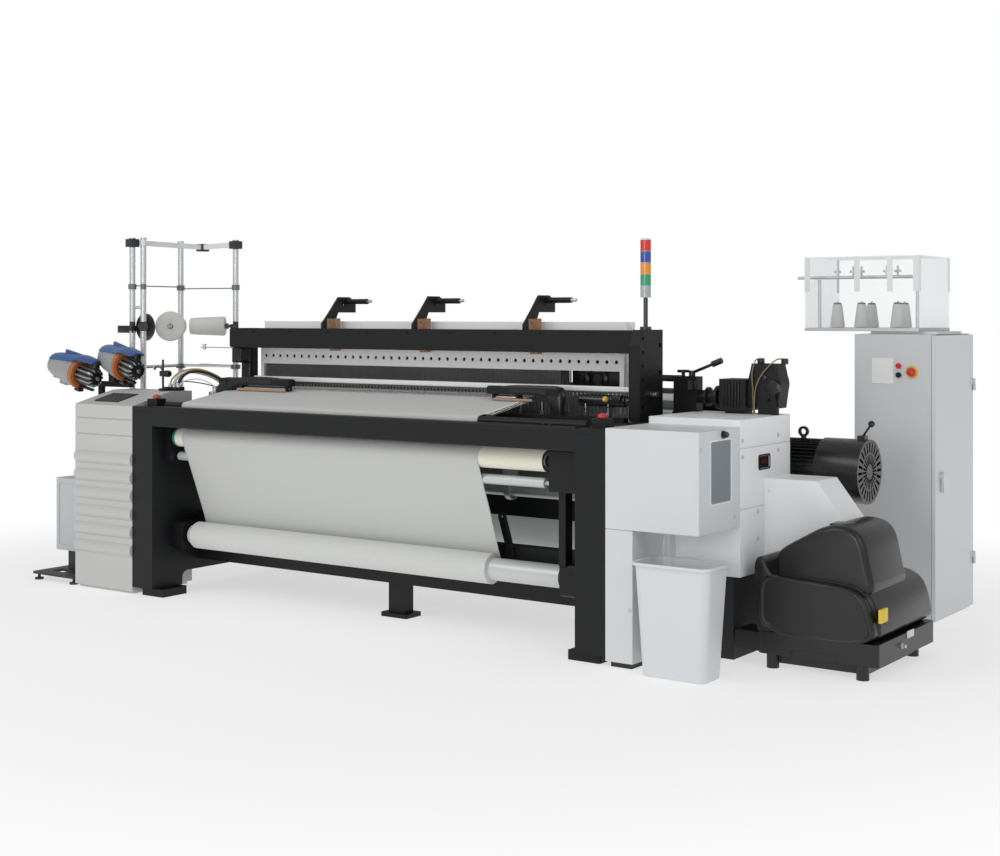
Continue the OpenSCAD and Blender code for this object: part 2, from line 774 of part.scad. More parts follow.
// Heald frames, four in all, and the warp side
function heald_d(k) = 705 + k * heald_pitch;
module heald_frame(k, z0) {
    top_z = z0 + stave_h + heald_window;
    d = heald_d(k);
    heald_step = (warp_x1 - cloth_x0) / heald_gaps;
    hole_step = (heald_x1 - heald_x0 - 80) / (stave_holes - 1);
    color([0.88, 0.89, 0.9]) difference() {
        along_y(d - heald_t / 2, d + heald_t / 2) difference() {
            translate([heald_x0, z0]) square([heald_x1 - heald_x0, 2 * stave_h + heald_window]);
            translate([heald_x0 + 22, z0 + stave_h])
                square([heald_x1 - heald_x0 - 44, heald_window]);
            for (i = [0:stave_holes - 1])
                translate([heald_x0 + 40 + i * hole_step, top_z + 43]) circle(r = stave_hole_r, $fn = 24);
        }
    }
    color([0.35, 0.36, 0.38]) difference() {
        box(cloth_x0, warp_x1, d - 1, d + 1, z0 + stave_h, top_z);
        for (i = [0:heald_gaps - 1])
            box(cloth_x0 + (i + 0.1) * heald_step, cloth_x0 + (i + 0.9) * heald_step, d - 2, d + 2,
                z0 + stave_h + 14, top_z - 14);
    }
}
module heald_frames_odd() {
    for (k = [0, 2]) heald_frame(k, heald_z0);
}
module heald_frames_even() {
    for (k = [1, 3]) heald_frame(k, heald_z0 + heald_stroke);
}
module warp_beam() {
    color([0.6, 0.61, 0.63]) {
        xcyl(-xin + 40, xin - 40, beam_c, barrel_r);
        xcyl(-xin - journal_len, -xin + 41, beam_c, beam_journal_r);
        xcyl(xin - 41, xin + journal_len, beam_c, beam_journal_r);
        for (x = [cloth_x0 - 5 - flange_t, warp_x1]) difference() {
            xcyl(x, x + flange_t, beam_c, flange_r);
            for (a = [0:60:300])
                translate([x - 1, fy(beam_c[0]) + 205 * cos(a), beam_c[1] + 205 * sin(a)])
                    rotate([0, 90, 0]) cylinder(h = flange_t + 2, r = 48);
        }
    }
}
module warp_yarn() {
    color([0.86, 0.86, 0.83]) difference() {
        xcyl(cloth_x0, warp_x1 - gap, beam_c, yarn_r);
        xcyl(cloth_x0 - 1, warp_x1 + 1, beam_c, barrel_r + gap);
    }
}
module back_rest() {
    color([0.75, 0.76, 0.78])
        roller(-xin + 20, xin - 20, back_c, back_r, -xin - journal_len, xin + journal_len, journal_r);
}
module warp_sheet() {
    color([0.9, 0.9, 0.87]) along_x(cloth_x0 + 5, warp_x1 - 10) ribbon(warp_stops, cloth_t);
}
module stop_motion() {
    bar_z = back_z + 66;
    wire_step = (warp_x1 - cloth_x0 - 40) / wire_gaps;
    color([0.2, 0.2, 0.22]) for (side = [0, 1]) mirror([side, 0, 0])
        along_x(xin, xin + 12) round_rect(fy(880), frame_top, fy(1060), bar_z + 40, 14);
    color([0.7, 0.71, 0.73]) for (d = [910:40:1030]) box(-xin, xin, d - 3, d + 3, bar_z, bar_z + 20);
    color([0.78, 0.79, 0.8]) for (d = [910:40:1030]) difference() {
        box(cloth_x0 + 10, warp_x1 - 20, d + 3, d + 5, back_z + 57, bar_z + 34);
        for (i = [0:wire_gaps - 1])
            box(cloth_x0 + 20 + i * wire_step, cloth_x0 + 20 + (i + 0.6) * wire_step, d + 2, d + 6,
                back_z + 56, bar_z + 24);
    }
}

// Left cabinet, side unit, weft feeders and creel
module left_rib(z) {
    chord = rib_h / 2;
    r = (chord * chord + rib_out * rib_out) / (2 * rib_out);
    inset = r - rib_out;
    cab_x0 = -xout - left_cab_w;
    xcyl(cab_x0 + inset, -xout, [inset, z], r);
    translate([cab_x0 + inset, fy(inset), z]) {
        sphere(r = r);
        rotate([-90, 0, 0]) cylinder(h = left_cab_d - inset, r = r);
    }
}
module left_cabinet() {
    x0 = -xout - left_cab_w;
    slope = atan2(slope_h, slope_d);
    color([0.84, 0.85, 0.87]) {
        difference() {
            along_x(x0, -xout) polygon([[fy(0), 15], [fy(left_cab_d), 15],
                [fy(left_cab_d), frame_top + slope_h], [fy(slope_d), frame_top + slope_h],
                [fy(0), frame_top]]);
            for (z = [820, 905]) {
                box(x0 - 1, -xout + 1, -1, 3, z, z + 5);
                box(x0 - 1, x0 + 3, -1, left_cab_d + 1, z, z + 5);
            }
        }
        for (i = [0:rib_count - 1]) left_rib(rib_z0 + i * rib_pitch);
        box(x0 + 15, -xout - 15, 20, left_cab_d - 20, 0, 15);
    }
    color([0.25, 0.27, 0.3]) translate([x0 + 90, fy(0), frame_top]) rotate([slope, 0, 0]) {
        translate([0, 60, 0]) cube([190, 130, 6]);
        for (i = [0:4], j = [0:2])
            translate([22 + i * 36, 84 + j * 38, 6]) cylinder(h = 3, r = 11);
    }
}
module side_unit() {
    x0 = unit_x1 - 330;
    tie_z = rib_z0 + rib_pitch / 2;
    color([0.12, 0.12, 0.13]) {
        difference() {
            plate_z(x0 - 20, unit_x1, 5, 600, 32, 44, 15);
            translate([x0 + 60, fy(80), 30]) cube([90, 70, 20]);
        }
        for (x = [x0, unit_x1 - 40], d = [30, 570])
            translate([x + 12, fy(d), 0]) {
                cylinder(h = 10, r = 24);
                cylinder(h = 33, r = 8);
            }
        box(x0 + 60, unit_x1 - 30, 190, 450, 44, unit_z0);
        box(unit_x1 - 1, -xout - left_cab_w, 170, 260, tie_z - 2, tie_z + 2);
    }
    color([0.66, 0.7, 0.71]) difference() {
        plate_z(x0, unit_x1, 150, 500, unit_z0, unit_z0 + unit_h, 12);
        box(x0 + 30, unit_x1 - 30, 149, 153, unit_z0 + 30, unit_z0 + unit_h - 30);
    }
}
module feeder_stand() {
    color([0.12, 0.12, 0.13]) {
        translate([feeder_post_x, fy(feeder_bar_d), unit_z0 + unit_h])
            cylinder(h = feeder_bar_z - unit_z0 - unit_h, r = 20);
        translate([feeder_post_x, fy(feeder_bar_d), unit_z0 + unit_h]) cylinder(h = 12, r = 45);
        difference() {
            box(feeder_post_x - 230, feeder_post_x + 250, feeder_bar_d - 18, feeder_bar_d + 18,
                feeder_bar_z, feeder_bar_z + 30);
            for (x = [-200:57:200]) translate([feeder_post_x + x, fy(feeder_bar_d), feeder_bar_z - 1])
                cylinder(h = 32, r = 6);
        }
    }
}
// A feeder lies along its own X axis with the winding ring at its origin
module at_feeder(place) {
    translate([place[0], fy(place[1]), place[2]]) rotate([0, 0, place[3]]) rotate([0, feeder_pitch, 0])
        children();
}
module turned(points) {
    rotate([0, 90, 0]) rotate_extrude() polygon(points);
}
module feeder_housing(place) {
    color([0.16, 0.36, 0.6]) at_feeder(place) difference() {
        union() {
            turned([[0, -230], [38, -230], [58, -205], [66, -120], [70, -60], [84, -34], [84, -14], [0, -14]]);
            translate([-190, -26, 30]) cube([330, 52, 62]);
            translate([125, -20, 40]) cube([22, 40, 52]);
        }
        rotate([0, 90, 0]) translate([0, 0, -75]) cylinder(h = 62, r = feeder_shaft_r + fit);
        rotate([0, 90, 0]) translate([0, 0, -13]) cylinder(h = 140, r = ring_r + 6);
        translate([-140, -60, 62]) cube([90, 30, 40]);
    }
    color([0.8, 0.81, 0.82]) at_feeder(place) difference() {
        turned([[0, 14], [drum_r - 3, 14], [drum_r, 20], [drum_r - 2, 70], [drum_r, drum_l],
            [drum_r - 12, drum_l + 18], [0, drum_l + 24]]);
        rotate([0, 90, 0]) translate([0, 0, 13]) cylinder(h = 50, r = feeder_shaft_r + fit);
        for (a = [0:30:330]) rotate([a, 0, 0]) translate([24, drum_r - 7, -3]) cube([drum_l - 34, 12, 6]);
    }
}
module feeder_foot(x, d0, d1, top) {
    color([0.14, 0.14, 0.15]) box(x - 24, x + 24, d0, d1, feeder_bar_z + 30, top);
}
module feeder_housings() {
    feeder_housing(feeder_1);
    feeder_housing(feeder_2);
    feeder_foot(feeder_1[0] - 110, feeder_1[1] - 18, feeder_bar_d + 18, feeder_1[2] - 42);
    feeder_foot(feeder_2[0] - 120, feeder_2[1], feeder_bar_d + 18, feeder_2[2] - 40);
}
module feeder_winder(place) {
    color([0.85, 0.45, 0.25]) at_feeder(place) {
        turned([[0, -12], [ring_r - 8, -12], [ring_r, -8], [ring_r, 8], [ring_r - 6, 12], [62, 12],
            [56, 4], [30, 2], [22, 12], [0, 12]]);
        rotate([0, 90, 0]) translate([0, 0, -74]) cylinder(h = 74 + 60, r = feeder_shaft_r);
        for (a = [0:20:340]) rotate([a, 0, 0]) translate([0, ring_r - 1, 0]) sphere(r = 5, $fn = 24);
    }
}
module feeder_winder_1() {
    feeder_winder(feeder_1);
}
module feeder_winder_2() {
    feeder_winder(feeder_2);
}
module rod(a, b, r) {
    v = b - a;
    translate(a) rotate([0, acos(v[2] / norm(v)), atan2(v[1], v[0])]) cylinder(h = norm(v), r = r);
}
function on(p, z) = [p[0], fy(p[1]), z];
module flat_bar(a, b, z, w, h) {
    v = b - a;
    translate(on(a, z)) rotate([0, 0, atan2(v[1], v[0])]) translate([0, -w / 2, -h / 2]) cube([norm(v), w, h]);
}
module creel_stand() {
    color([0.78, 0.79, 0.81]) {
        for (p = creel_posts) {
            translate(on(p, 0)) cylinder(h = creel_h, r = post_r);
            translate(on(p, creel_h)) cylinder(h = 6, r = post_r + 3);
        }
        flat_bar(creel_posts[0], creel_apex, creel_h - 22, 24, 30);
        flat_bar(creel_apex, creel_posts[3], creel_h - 22, 24, 30);
        rod(on(creel_posts[2], 1150), on(creel_posts[3], 1150), 9);
        rod(on(creel_posts[2], 1150), on(creel_posts[0], 1150), 9);
        rod(on(creel_posts[0], 1500), on(creel_posts[1], 1500), 9);
        rod(on(creel_posts[0], 60), on(creel_posts[2], 60), 10);
        rod(on(creel_posts[2], 90), on(creel_posts[3], 90), 10);
        rod(on(creel_posts[0], 120), on(creel_posts[1], 120), 10);
    }
    color([0.15, 0.15, 0.16]) {
        for (p = [creel_posts[0], creel_apex, creel_posts[3]])
            translate(on(p, creel_h - 25)) cube([56, 56, 46], center = true);
        flat_bar(creel_posts[2], creel_posts[3], 1616, 34, 6);
        flat_bar(creel_posts[2], creel_posts[0], 1626, 34, 6);
        for (p = [creel_posts[0], creel_posts[2], creel_posts[3]])
            translate(on(p, 1606)) cylinder(h = 30, r = post_r + 7);
        for (p = creel_posts) translate(on(p, 0)) cylinder(h = 18, r = 31);
        rod(on(creel_posts[2], cone_z), on(cone_1, cone_z), 8);
        rod(on(creel_posts[3], cone_z), on(cone_2_peg, cone_z), 8);
        rod(on(cone_2_peg, cone_z), on(cone_2, cone_z), 8);
        translate(on(cone_2_peg, cone_z - 12)) cylinder(h = 24, r = 12);
        translate(on(creel_posts[1], cone_z)) rotate([90, 0, 40]) cylinder(h = post_r + 24, r = 26);
    }
}
// A cone of yarn with its tube along Z, the large end at the origin
module yarn_cone(r, l, bore) {
    color([0.95, 0.95, 0.93]) rotate_extrude() polygon([[bore, 0], [r * 0.72, 0], [r * 0.94, l * 0.04],
        [r, l * 0.12], [r * 0.66, l * 0.86], [r * 0.52, l * 0.93], [bore, l * 0.95]]);
    color([0.35, 0.35, 0.37]) rotate_extrude() polygon([[bore, l * 0.95], [r * 0.42, l * 0.94],
        [r * 0.36, l], [bore, l]]);
}
module cone_along(a, b, back) {
    v = b - a;
    translate(b - v * back / norm(v)) rotate([0, 90, atan2(v[1], v[0])])
        yarn_cone(cone_r, cone_l, 8 + gap);
}
module yarn_cones() {
    cone_along(on(creel_posts[2], cone_z), on(cone_1, cone_z), cone_l - 2);
    cone_along(on(cone_2_peg, cone_z), on(cone_2, cone_z), cone_l - 2);
    for (p = selvedge_cones) translate(on(p, cover_z0)) yarn_cone(selvedge_cone_r, selvedge_cone_h, 5 + gap);
}

// Right side: housings, motor, cam box and bin
module front_box() {
    x1 = xout + housing_w;
    color([0.9, 0.91, 0.92]) difference() {
        along_y(0, front_box_d) polygon([[xout, 24], [xout + leg_w, 24], [xout + leg_w, front_box_z0],
            [x1, front_box_z0], [x1, front_box_top], [xout, front_box_top]]);
        along_x(x1 - 4, x1 + 1) round_rect(fy(100), 688, fy(280), 943, 10);
        box(xout - 1, x1 + 1, -1, 3, front_box_z0 - 3, front_box_z0);
        translate([x1 - knob_bore, fy(knob_d), knob_z]) rotate([0, 90, 0])
            cylinder(h = knob_bore + 1, r = knob_stem_r + fit);
    }
    color([0.14, 0.14, 0.15]) box(xout + 15, xout + leg_w - 15, 20, front_box_d - 20, 0, 24);
}
module box_knob() {
    x1 = xout + housing_w;
    color([0.2, 0.2, 0.22]) translate([x1, fy(knob_d), knob_z]) rotate([0, 90, 0]) {
        translate([0, 0, gap - knob_bore]) cylinder(h = knob_bore, r = knob_stem_r);
        translate([0, 0, gap]) cylinder(h = 8, r = 16);
        translate([0, 0, gap + 8]) cylinder(h = 14, r = 12);
        translate([-3, -14, gap + 8]) cube([6, 28, 16]);
    }
}
module gear_housing() {
    x1 = xout + housing_w;
    d1 = front_box_d + housing_d;
    color([0.9, 0.91, 0.92]) difference() {
        union() {
            box(xout, x1, front_box_d, d1, housing_z0, housing_top);
            box(xout, motor_x0, d1, motor_d + 140, motor_z - 220, motor_z + 170);
        }
        for (z = [895, 640]) box(x1 - 3, x1 + 1, front_box_d - 1, d1 + 1, z, z + 3);
        box(x1 - 4, x1 + 1, 540, 642, 800, 852);
        xcyl(motor_x0 - 30, motor_x0 + 1, [motor_d, motor_z], motor_shaft_r + 8);
    }
    color([0.12, 0.12, 0.13]) box(x1 - 4, x1 - 1, 544, 638, 804, 848);
    color([0.14, 0.14, 0.15]) box(xout + 30, x1 - 60, front_box_d + 60, d1 - 60, 0, housing_z0);
}
module belt_cover() {
    x1 = xout + housing_w;
    color([0.9, 0.91, 0.92]) difference() {
        along_y(592, 799) polygon([[x1, 400], [x1 + 450, 400], [x1 + 391, 564], [x1 + 242, 757], [x1, 757]]);
        for (z = [470, 700]) translate([x1 + 22, fy(592) - 1, z]) rotate([-90, 0, 0]) cylinder(h = 5, r = 6);
    }
}
module fin_star(r_in, r_out, n, t) {
    circle(r = r_in);
    for (i = [0:n / 2 - 1]) rotate(i * 360 / n + 180 / n) translate([-r_out, -t / 2]) square([2 * r_out, t]);
}
module motor_body() {
    axis = [motor_d, motor_z];
    x1 = motor_x0 + motor_l;
    color([0.1, 0.1, 0.11]) difference() {
        union() {
            xcyl(motor_x0, motor_x0 + 22, axis, motor_r + 4);
            translate([motor_x0 + 22, fy(motor_d), motor_z]) rotate([0, 90, 0])
                linear_extrude(motor_l - 36) fin_star(motor_r - 20, motor_r, fin_count, 3);
            xcyl(x1 - 14, x1, axis, fan_cover_r);
            translate([motor_x0 + 130, fy(motor_d) - 60, motor_z - motor_r - 40]) cube([150, 120, 70]);
            translate([motor_x0 + 250, fy(motor_d), motor_z + motor_r - 24]) cylinder(h = 36, r = 12);
            translate([motor_x0 + 250, fy(motor_d) - 7, motor_z + motor_r + 30]) rotate([-90, 0, 0])
                cylinder(h = 14, r = 24);
        }
        translate([motor_x0 + 250, fy(motor_d) - 8, motor_z + motor_r + 30]) rotate([-90, 0, 0])
            cylinder(h = 16, r = 13);
        xcyl(x1 - 120, x1 + 1, axis, motor_shaft_r + fit);
    }
}
module motor_fan() {
    axis = [motor_d, motor_z];
    x1 = motor_x0 + motor_l;
    color([0.25, 0.25, 0.27]) {
        xcyl(x1 - 119, x1 + 130, axis, motor_shaft_r);
        xcyl(x1 + 60, x1 + 118, axis, 34);
        xcyl(x1 + 60, x1 + 66, axis, 112);
        for (a = [0:45:315]) translate([x1 + 65, fy(motor_d), motor_z]) rotate([a, 0, 0])
            translate([0, 30, -3]) cube([50, 86, 6]);
    }
}
module motor_fan_cover() {
    axis = [motor_d, motor_z];
    x1 = motor_x0 + motor_l;
    x2 = x1 + fan_cover_l;
    color([0.1, 0.1, 0.11]) difference() {
        union() {
            xcyl(x1, x2, axis, fan_cover_r);
            along_y(motor_d - 20, motor_d + 20) translate([x2 - 50, motor_z]) square([34, fan_cover_r + 16]);
        }
        xcyl(x1 - 1, x2 - 4, axis, fan_cover_r - 4);
        for (a = [0:15:345], ring = [0, 1]) translate([x2 - 6, fy(motor_d), motor_z]) rotate([a, 0, 0])
            translate([0, ring == 0 ? 34 : 86, -4 - 2 * ring]) cube([8, 44, 8 + 4 * ring]);
        translate([lever_x - lever_slot, fy(motor_d) - lever_slot / 2, motor_z + fan_cover_r - 20])
            cube([2 * lever_slot, lever_slot, 40]);
        translate([lever_x, fy(motor_d) - 21, lever_z]) rotate([-90, 0, 0]) cylinder(h = 42, r = pin_r + fit);
    }
}
module ball_lever() {
    color([0.12, 0.12, 0.13]) {
        translate([lever_x, fy(motor_d) - 20, lever_z]) rotate([-90, 0, 0]) cylinder(h = 40, r = pin_r);
        translate([lever_x, fy(motor_d), lever_z]) rotate([0, lever_lean, 0]) cylinder(h = 70, r = 5);
        translate([lever_x, fy(motor_d), lever_z]) rotate([0, lever_lean, 0]) translate([0, 0, 72])
            sphere(r = 15);
    }
}
module cam_box_base() {
    color([0.08, 0.08, 0.09]) {
        difference() {
            union() {
                plate_z(cam_x0, cam_x1, cam_d0, cam_d1, 60, cam_split, 20);
                plate_z(cam_x0 + 40, cam_x1 - 60, cam_d0 + 40, cam_d1 - 60, 20, 61, 15);
                box(coupling_x0, cam_x0 + 1, cam_d0 + 20, cam_d0 + 170, 62, 140);
            }
            along_y(cam_d0 - 1, cam_d0 + 6) translate([cam_x0 + 150, 50]) square([200, 40]);
        }
        for (x = [cam_x0 + 55, cam_x1 - 75], d = [cam_d0 + 32, cam_d1 - 60])
            translate([x, fy(d), 0]) cylinder(h = 62, r = 26);
    }
    color([0.6, 0.6, 0.62]) xcyl(xout + housing_w - 60, cam_x0 + 5, [cam_d0 + 120, 110], 12);
}
module cam_hump_outline() {
    polygon(concat([[cam_x0, cam_split], [cam_x0 + 20, cam_low], [cam_x0 + 395, cam_low]],
        [for (a = [80:-10:0]) [cam_x1 - 112 + 112 * cos(a), cam_low - 150 + 150 * sin(a)]],
        [[cam_x1 + 4, cam_split]]));
}
module cam_dome_outline() {
    polygon(concat([[cam_x0 + 60, cam_low - 20], [cam_x0 + 62, cam_low + 90], [cam_x0 + 80, cam_low + 112],
        [cam_x0 + 275, cam_top - 6]],
        [for (a = [90:-9:0]) [cam_x1 - 130 + 105 * cos(a), cam_top - 125 + 125 * sin(a)]],
        [[cam_x1 - 8, cam_low + 50], [cam_x1 - 2, cam_low - 20]]));
}
module cam_box_lid() {
    color([0.08, 0.08, 0.09]) {
        along_y(cam_d0, cam_d1) cam_hump_outline();
        along_y(cam_d0 + 40, cam_d0 + 225) cam_dome_outline();
        translate([cam_x0 + 20, fy(cam_d0 + 18), cam_split]) cylinder(h = cam_low - cam_split + 60, r = 30);
        translate([cam_x0 + 20, fy(cam_d0 + 18), cam_low + 60]) sphere(r = 30);
    }
}
module bin_shell(inset, z0, z1) {
    hull() {
        translate([0, 0, z0]) linear_extrude(1) bin_outline(bin_foot, inset);
        translate([0, 0, z1 - 1]) linear_extrude(1) bin_outline(0, inset);
    }
}
module bin_outline(taper, inset) {
    $fn = 32;
    k = taper + inset;
    round_rect(bin_x0 + k, fy(bin_d0 + k), bin_x1 - k, fy(bin_d1 - k), 42 - inset);
}
module bin() {
    color([0.93, 0.94, 0.95]) {
        difference() {
            bin_shell(0, 0, bin_h);
            bin_shell(bin_wall, bin_wall, bin_h + 1);
        }
        translate([0, 0, bin_h - 18]) linear_extrude(18) difference() {
            bin_outline(-14, 0);
            bin_outline(0, 0);
        }
    }
}

// Warp tension drive on top of the right side frame and the housing
module let_off_drive() {
    d = drive_d;
    color([0.09, 0.09, 0.1]) {
        difference() {
            union() {
                box(xout - 95, xout + 18, d - 30, d + 30, housing_top, drive_z + 90);
                box(xout - 95, xout - 2, d - 50, d + 50, frame_top, housing_top);
            }
            translate([lever_pivot_x, fy(d), drive_z + 40]) cylinder(h = 60, r = 9 + fit);
        }
        xcyl(xout - 60, xout + 150, [d, drive_z], 30);
        xcyl(xout + 110, xout + 125, [d, drive_z], 52);
        xcyl(xout + 60, xout + 70, [d, drive_z], 44);
        translate([xout - 65, fy(d), drive_z + 89]) {
            cylinder(h = 18, r = 8);
            translate([0, 0, 18]) cylinder(h = 12, r = 28);
        }
        box(xout + 150, xout + 280, d - 65, d + 65, drive_z - 55, drive_z + 85);
        box(xout + 170, xout + 260, d - 45, d + 45, housing_top, drive_z - 54);
        along_y(d - 45, d + 45) {
            translate([xout + 360, drive_z + 65]) circle(r = 80);
            polygon([[xout + 279, drive_z - 40], [xout + 425, drive_z - 40], [xout + 440, drive_z + 65],
                [xout + 420, drive_z + 155], [xout + 300, drive_z + 155], [xout + 279, drive_z + 65]]);
        }
        along_y(d - 62, d - 44) {
            translate([xout + 372, drive_z + 15]) circle(r = 24);
            polygon([[xout + 395, drive_z + 30], [xout + 418, drive_z + 30], [xout + 432, housing_top],
                [xout + 402, housing_top]]);
        }
        along_y(d - 44, d + 45) translate([xout + 330, housing_top])
            square([60, drive_z - 39 - housing_top]);
    }
    color([0.9, 0.91, 0.93]) translate([xout, fy(d) - 56, drive_z + 32]) {
        cylinder(h = 42, r = 24);
        translate([-10, 15, 8]) cube([20, 18, 20]);
    }
}
module hand_lever() {
    a = [lever_pivot_x, fy(drive_d), drive_z + 90 + gap];
    color([0.08, 0.08, 0.09]) {
        translate(a - [0, 0, 44]) cylinder(h = 44, r = 9);
        translate(a) cylinder(h = 26, r = 15);
        rod(a + [0, 0, 16], a + [118, 0, 62], 7);
        rod(a + [104, 0, 56.5], a + [150, 0, 74.5], 14);
    }
}

// Control cabinet with its door, buttons and the acrylic selvedge box on top
module cabinet_body() {
    x1 = cab_x0 + cab_w - door_t - door_gap;
    color([0.86, 0.87, 0.88]) difference() {
        box(cab_x0, x1, cab_d0, cab_d0 + cab_d, 0, cab_h);
        box(cab_x0 + cab_wall, x1 + 1, cab_d0 + cab_wall, cab_d0 + cab_d - cab_wall, 60, cab_h - cab_wall);
        for (p = [red_at, black_at]) panel_bore(p, button_r);
        panel_bore(estop_at, button_stem_r);
    }
    color([0.5, 0.51, 0.53]) for (z = hinge_zs) {
        x = cab_x0 + cab_w + 8;
        y = fy(cab_d0 + cab_d) - 8;
        translate([x, y, z]) {
            cylinder(h = 30, r = 7);
            cylinder(h = 58, r = pin_r);
        }
        translate([x1 - 20, fy(cab_d0 + cab_d), z]) cube([x + 5 - x1 + 20, 3, 30]);
        translate([x + 2, y, z]) cube([3, 11, 30]);
    }
    color([0.85, 0.86, 0.8]) box(cab_x0 + 87, cab_x0 + 197, cab_d0 - 3, cab_d0, 1125, 1248);
    color([0.9, 0.8, 0.2]) difference() {
        translate([estop_at[0], fy(cab_d0), estop_at[1]]) rotate([90, 0, 0]) cylinder(h = 3, r = 30);
        panel_bore(estop_at, button_stem_r);
    }
}
module panel_bore(at, r) {
    translate([at[0], fy(cab_d0) - 4, at[1]]) rotate([-90, 0, 0]) cylinder(h = cab_wall + 5, r = r + fit);
}
module panel_button(at) {
    translate([at[0], fy(cab_d0) - 10, at[1]]) rotate([-90, 0, 0]) cylinder(h = 10 + cab_wall, r = button_r);
}
module button_red() {
    color([0.75, 0.1, 0.1]) panel_button(red_at);
}
module button_black() {
    color([0.1, 0.1, 0.1]) panel_button(black_at);
}
module cabinet_estop() {
    color([0.8, 0.08, 0.08]) translate([estop_at[0], fy(cab_d0) - 3, estop_at[1]]) rotate([90, 0, 0]) {
        translate([0, 0, -20]) cylinder(h = 20 + button_travel + 2, r = button_stem_r);
        translate([0, 0, button_travel + 2]) rotate_extrude() polygon([[0, 0], [21, 0], [21, 6], [17, 13],
            [9, 17], [0, 18]]);
    }
}
module cabinet_door() {
    x0 = cab_x0 + cab_w - door_t;
    color([0.88, 0.89, 0.9]) difference() {
        box(x0, x0 + door_t, cab_d0, cab_d0 + cab_d, 15, cab_h - 5);
        box(x0 - 1, x0 + 8, cab_d0 + 30, cab_d0 + cab_d - 30, 60, cab_h - 60);
        translate([x0 - 1, fy(handle_d), handle_z]) rotate([0, 90, 0])
            cylinder(h = door_t + 2, r = handle_stem_r + fit);
    }
    color([0.5, 0.51, 0.53]) for (z = hinge_zs) translate([x0 + door_t + 8, fy(cab_d0 + cab_d) - 8, z + 30 + gap]) {
        difference() {
            union() {
                cylinder(h = 30, r = 7);
                translate([-8, -30, 0]) cube([3, 30, 30]);
                translate([-8, -6, 0]) cube([6, 5, 30]);
            }
            translate([0, 0, -1]) cylinder(h = 32, r = pin_r + fit);
        }
    }
}
module door_handle() {
    x0 = cab_x0 + cab_w;
    color([0.2, 0.2, 0.22]) translate([x0, fy(handle_d), handle_z]) {
        rotate([0, 90, 0]) {
            translate([0, 0, -door_t]) cylinder(h = door_t + gap, r = handle_stem_r);
            translate([0, 0, gap]) cylinder(h = 14, r = 18);
        }
        translate([gap + 8, -12, -76]) cube([12, 24, 96]);
    }
}
module selvedge_box() {
    color([0.8, 0.88, 0.9, 0.4]) difference() {
        box(cover_x0, cover_x1, cover_d0, cover_d1, cover_z0, cover_z0 + cover_h);
        box(cover_x0 + cover_wall, cover_x1 - cover_wall, cover_d0 + cover_wall, cover_d1 - cover_wall,
            cover_z0 - 1, cover_z0 + cover_h - cover_wall);
        box(cover_x0 - 1, cover_x0 + cover_wall + 1, post_row_d - 14, post_row_d + 14,
            post_bar_z - 12, post_bar_z + 12);
    }
}
module selvedge_rail() {
    color([0.75, 0.76, 0.78]) {
        box(cover_x0, cover_x1, cover_d0, cover_d1, cab_h + 13, cover_z0);
        box(cab_x0 + 58, cab_x0 + 388, cab_d0 + 60, cab_d0 + 400, cab_h, cab_h + 13);
        for (x = [cover_x0 + 40, cover_x1 - 40])
            translate([x, fy(post_row_d), cover_z0]) cylinder(h = post_bar_z - cover_z0, r = 8);
        rod([cover_x0 - 75, fy(post_row_d), post_bar_z], [cover_x1 - 30, fy(post_row_d), post_bar_z], 8);
        for (p = selvedge_cones) translate(on(p, cover_z0)) cylinder(h = selvedge_cone_h + 10, r = 5);
        for (p = selvedge_cones) {
            translate([p[0], fy(post_row_d), post_bar_z]) cylinder(h = 55, r = 5);
            translate([p[0], fy(post_row_d), post_bar_z + 22]) cylinder(h = 12, r = 16);
        }
    }
}

// Air hoses: a round tube swept along a smooth curve through chosen points
function spline(p, i, t) = let(n = len(p) - 1, a = p[max(i - 1, 0)], b = p[i], c = p[i + 1], d = p[min(i + 2, n)])
    0.5 * (2 * b + (c - a) * t + (2 * a - 5 * b + 4 * c - d) * t * t + (3 * b - a - 3 * c + d) * t * t * t);
function smooth(p, n) = concat([for (i = [0:len(p) - 2], k = [0:n - 1]) spline(p, i, k / n)], [p[len(p) - 1]]);
function unit(v) = v / norm(v);
module hose(points, r, sides, n) {
    path = smooth(points, n);
    last = len(path) - 1;
    rings = [for (i = [0:last]) let(
        t = unit(path[min(i + 1, last)] - path[max(i - 1, 0)]),
        u = unit(cross(t, hose_side)),
        w = cross(u, t))
        for (k = [0:sides - 1]) path[i] + r * (cos(360 * k / sides) * u + sin(360 * k / sides) * w)];
    walls = [for (i = [0:last - 1], k = [0:sides - 1]) let(a = i * sides + k, b = i * sides + (k + 1) % sides)
        each [[a, b, b + sides], [a, b + sides, a + sides]]];
    caps = [[for (k = [0:sides - 1]) sides - 1 - k], [for (k = [0:sides - 1]) last * sides + k]];
    polyhedron(points = rings, faces = concat(walls, caps));
}
module air_hoses() {
    color([0.92, 0.92, 0.9]) hose(white_hose, 9, 8, 4);
    color([0.1, 0.1, 0.11]) hose(black_hose, 10, 8, 4);
    color([0.82, 0.72, 0.2]) hose(yellow_hose, 6, 8, 4);
    color([0.2, 0.2, 0.22]) box(-xout + 20, -xout + 130, 600, 680, frame_top, frame_top + 45);
    color([0.2, 0.2, 0.22]) box(-xout - 130, -xout - 30, 330, 400, frame_top + slope_h, frame_top + slope_h + 30);
}
module stop_button(x) {
    color([0.8, 0.08, 0.08]) translate([x, fy(button_d), frame_top + button_box_h]) {
        translate([0, 0, gap - button_bore + button_travel]) cylinder(h = button_bore, r = button_stem_r);
        translate([0, 0, gap + button_travel]) rotate_extrude() polygon([[0, 0], [21, 0], [21, 6], [17, 13],
            [9, 17], [0, 18]]);
    }
}
module left_stop_button() {
    stop_button(-button_x);
}
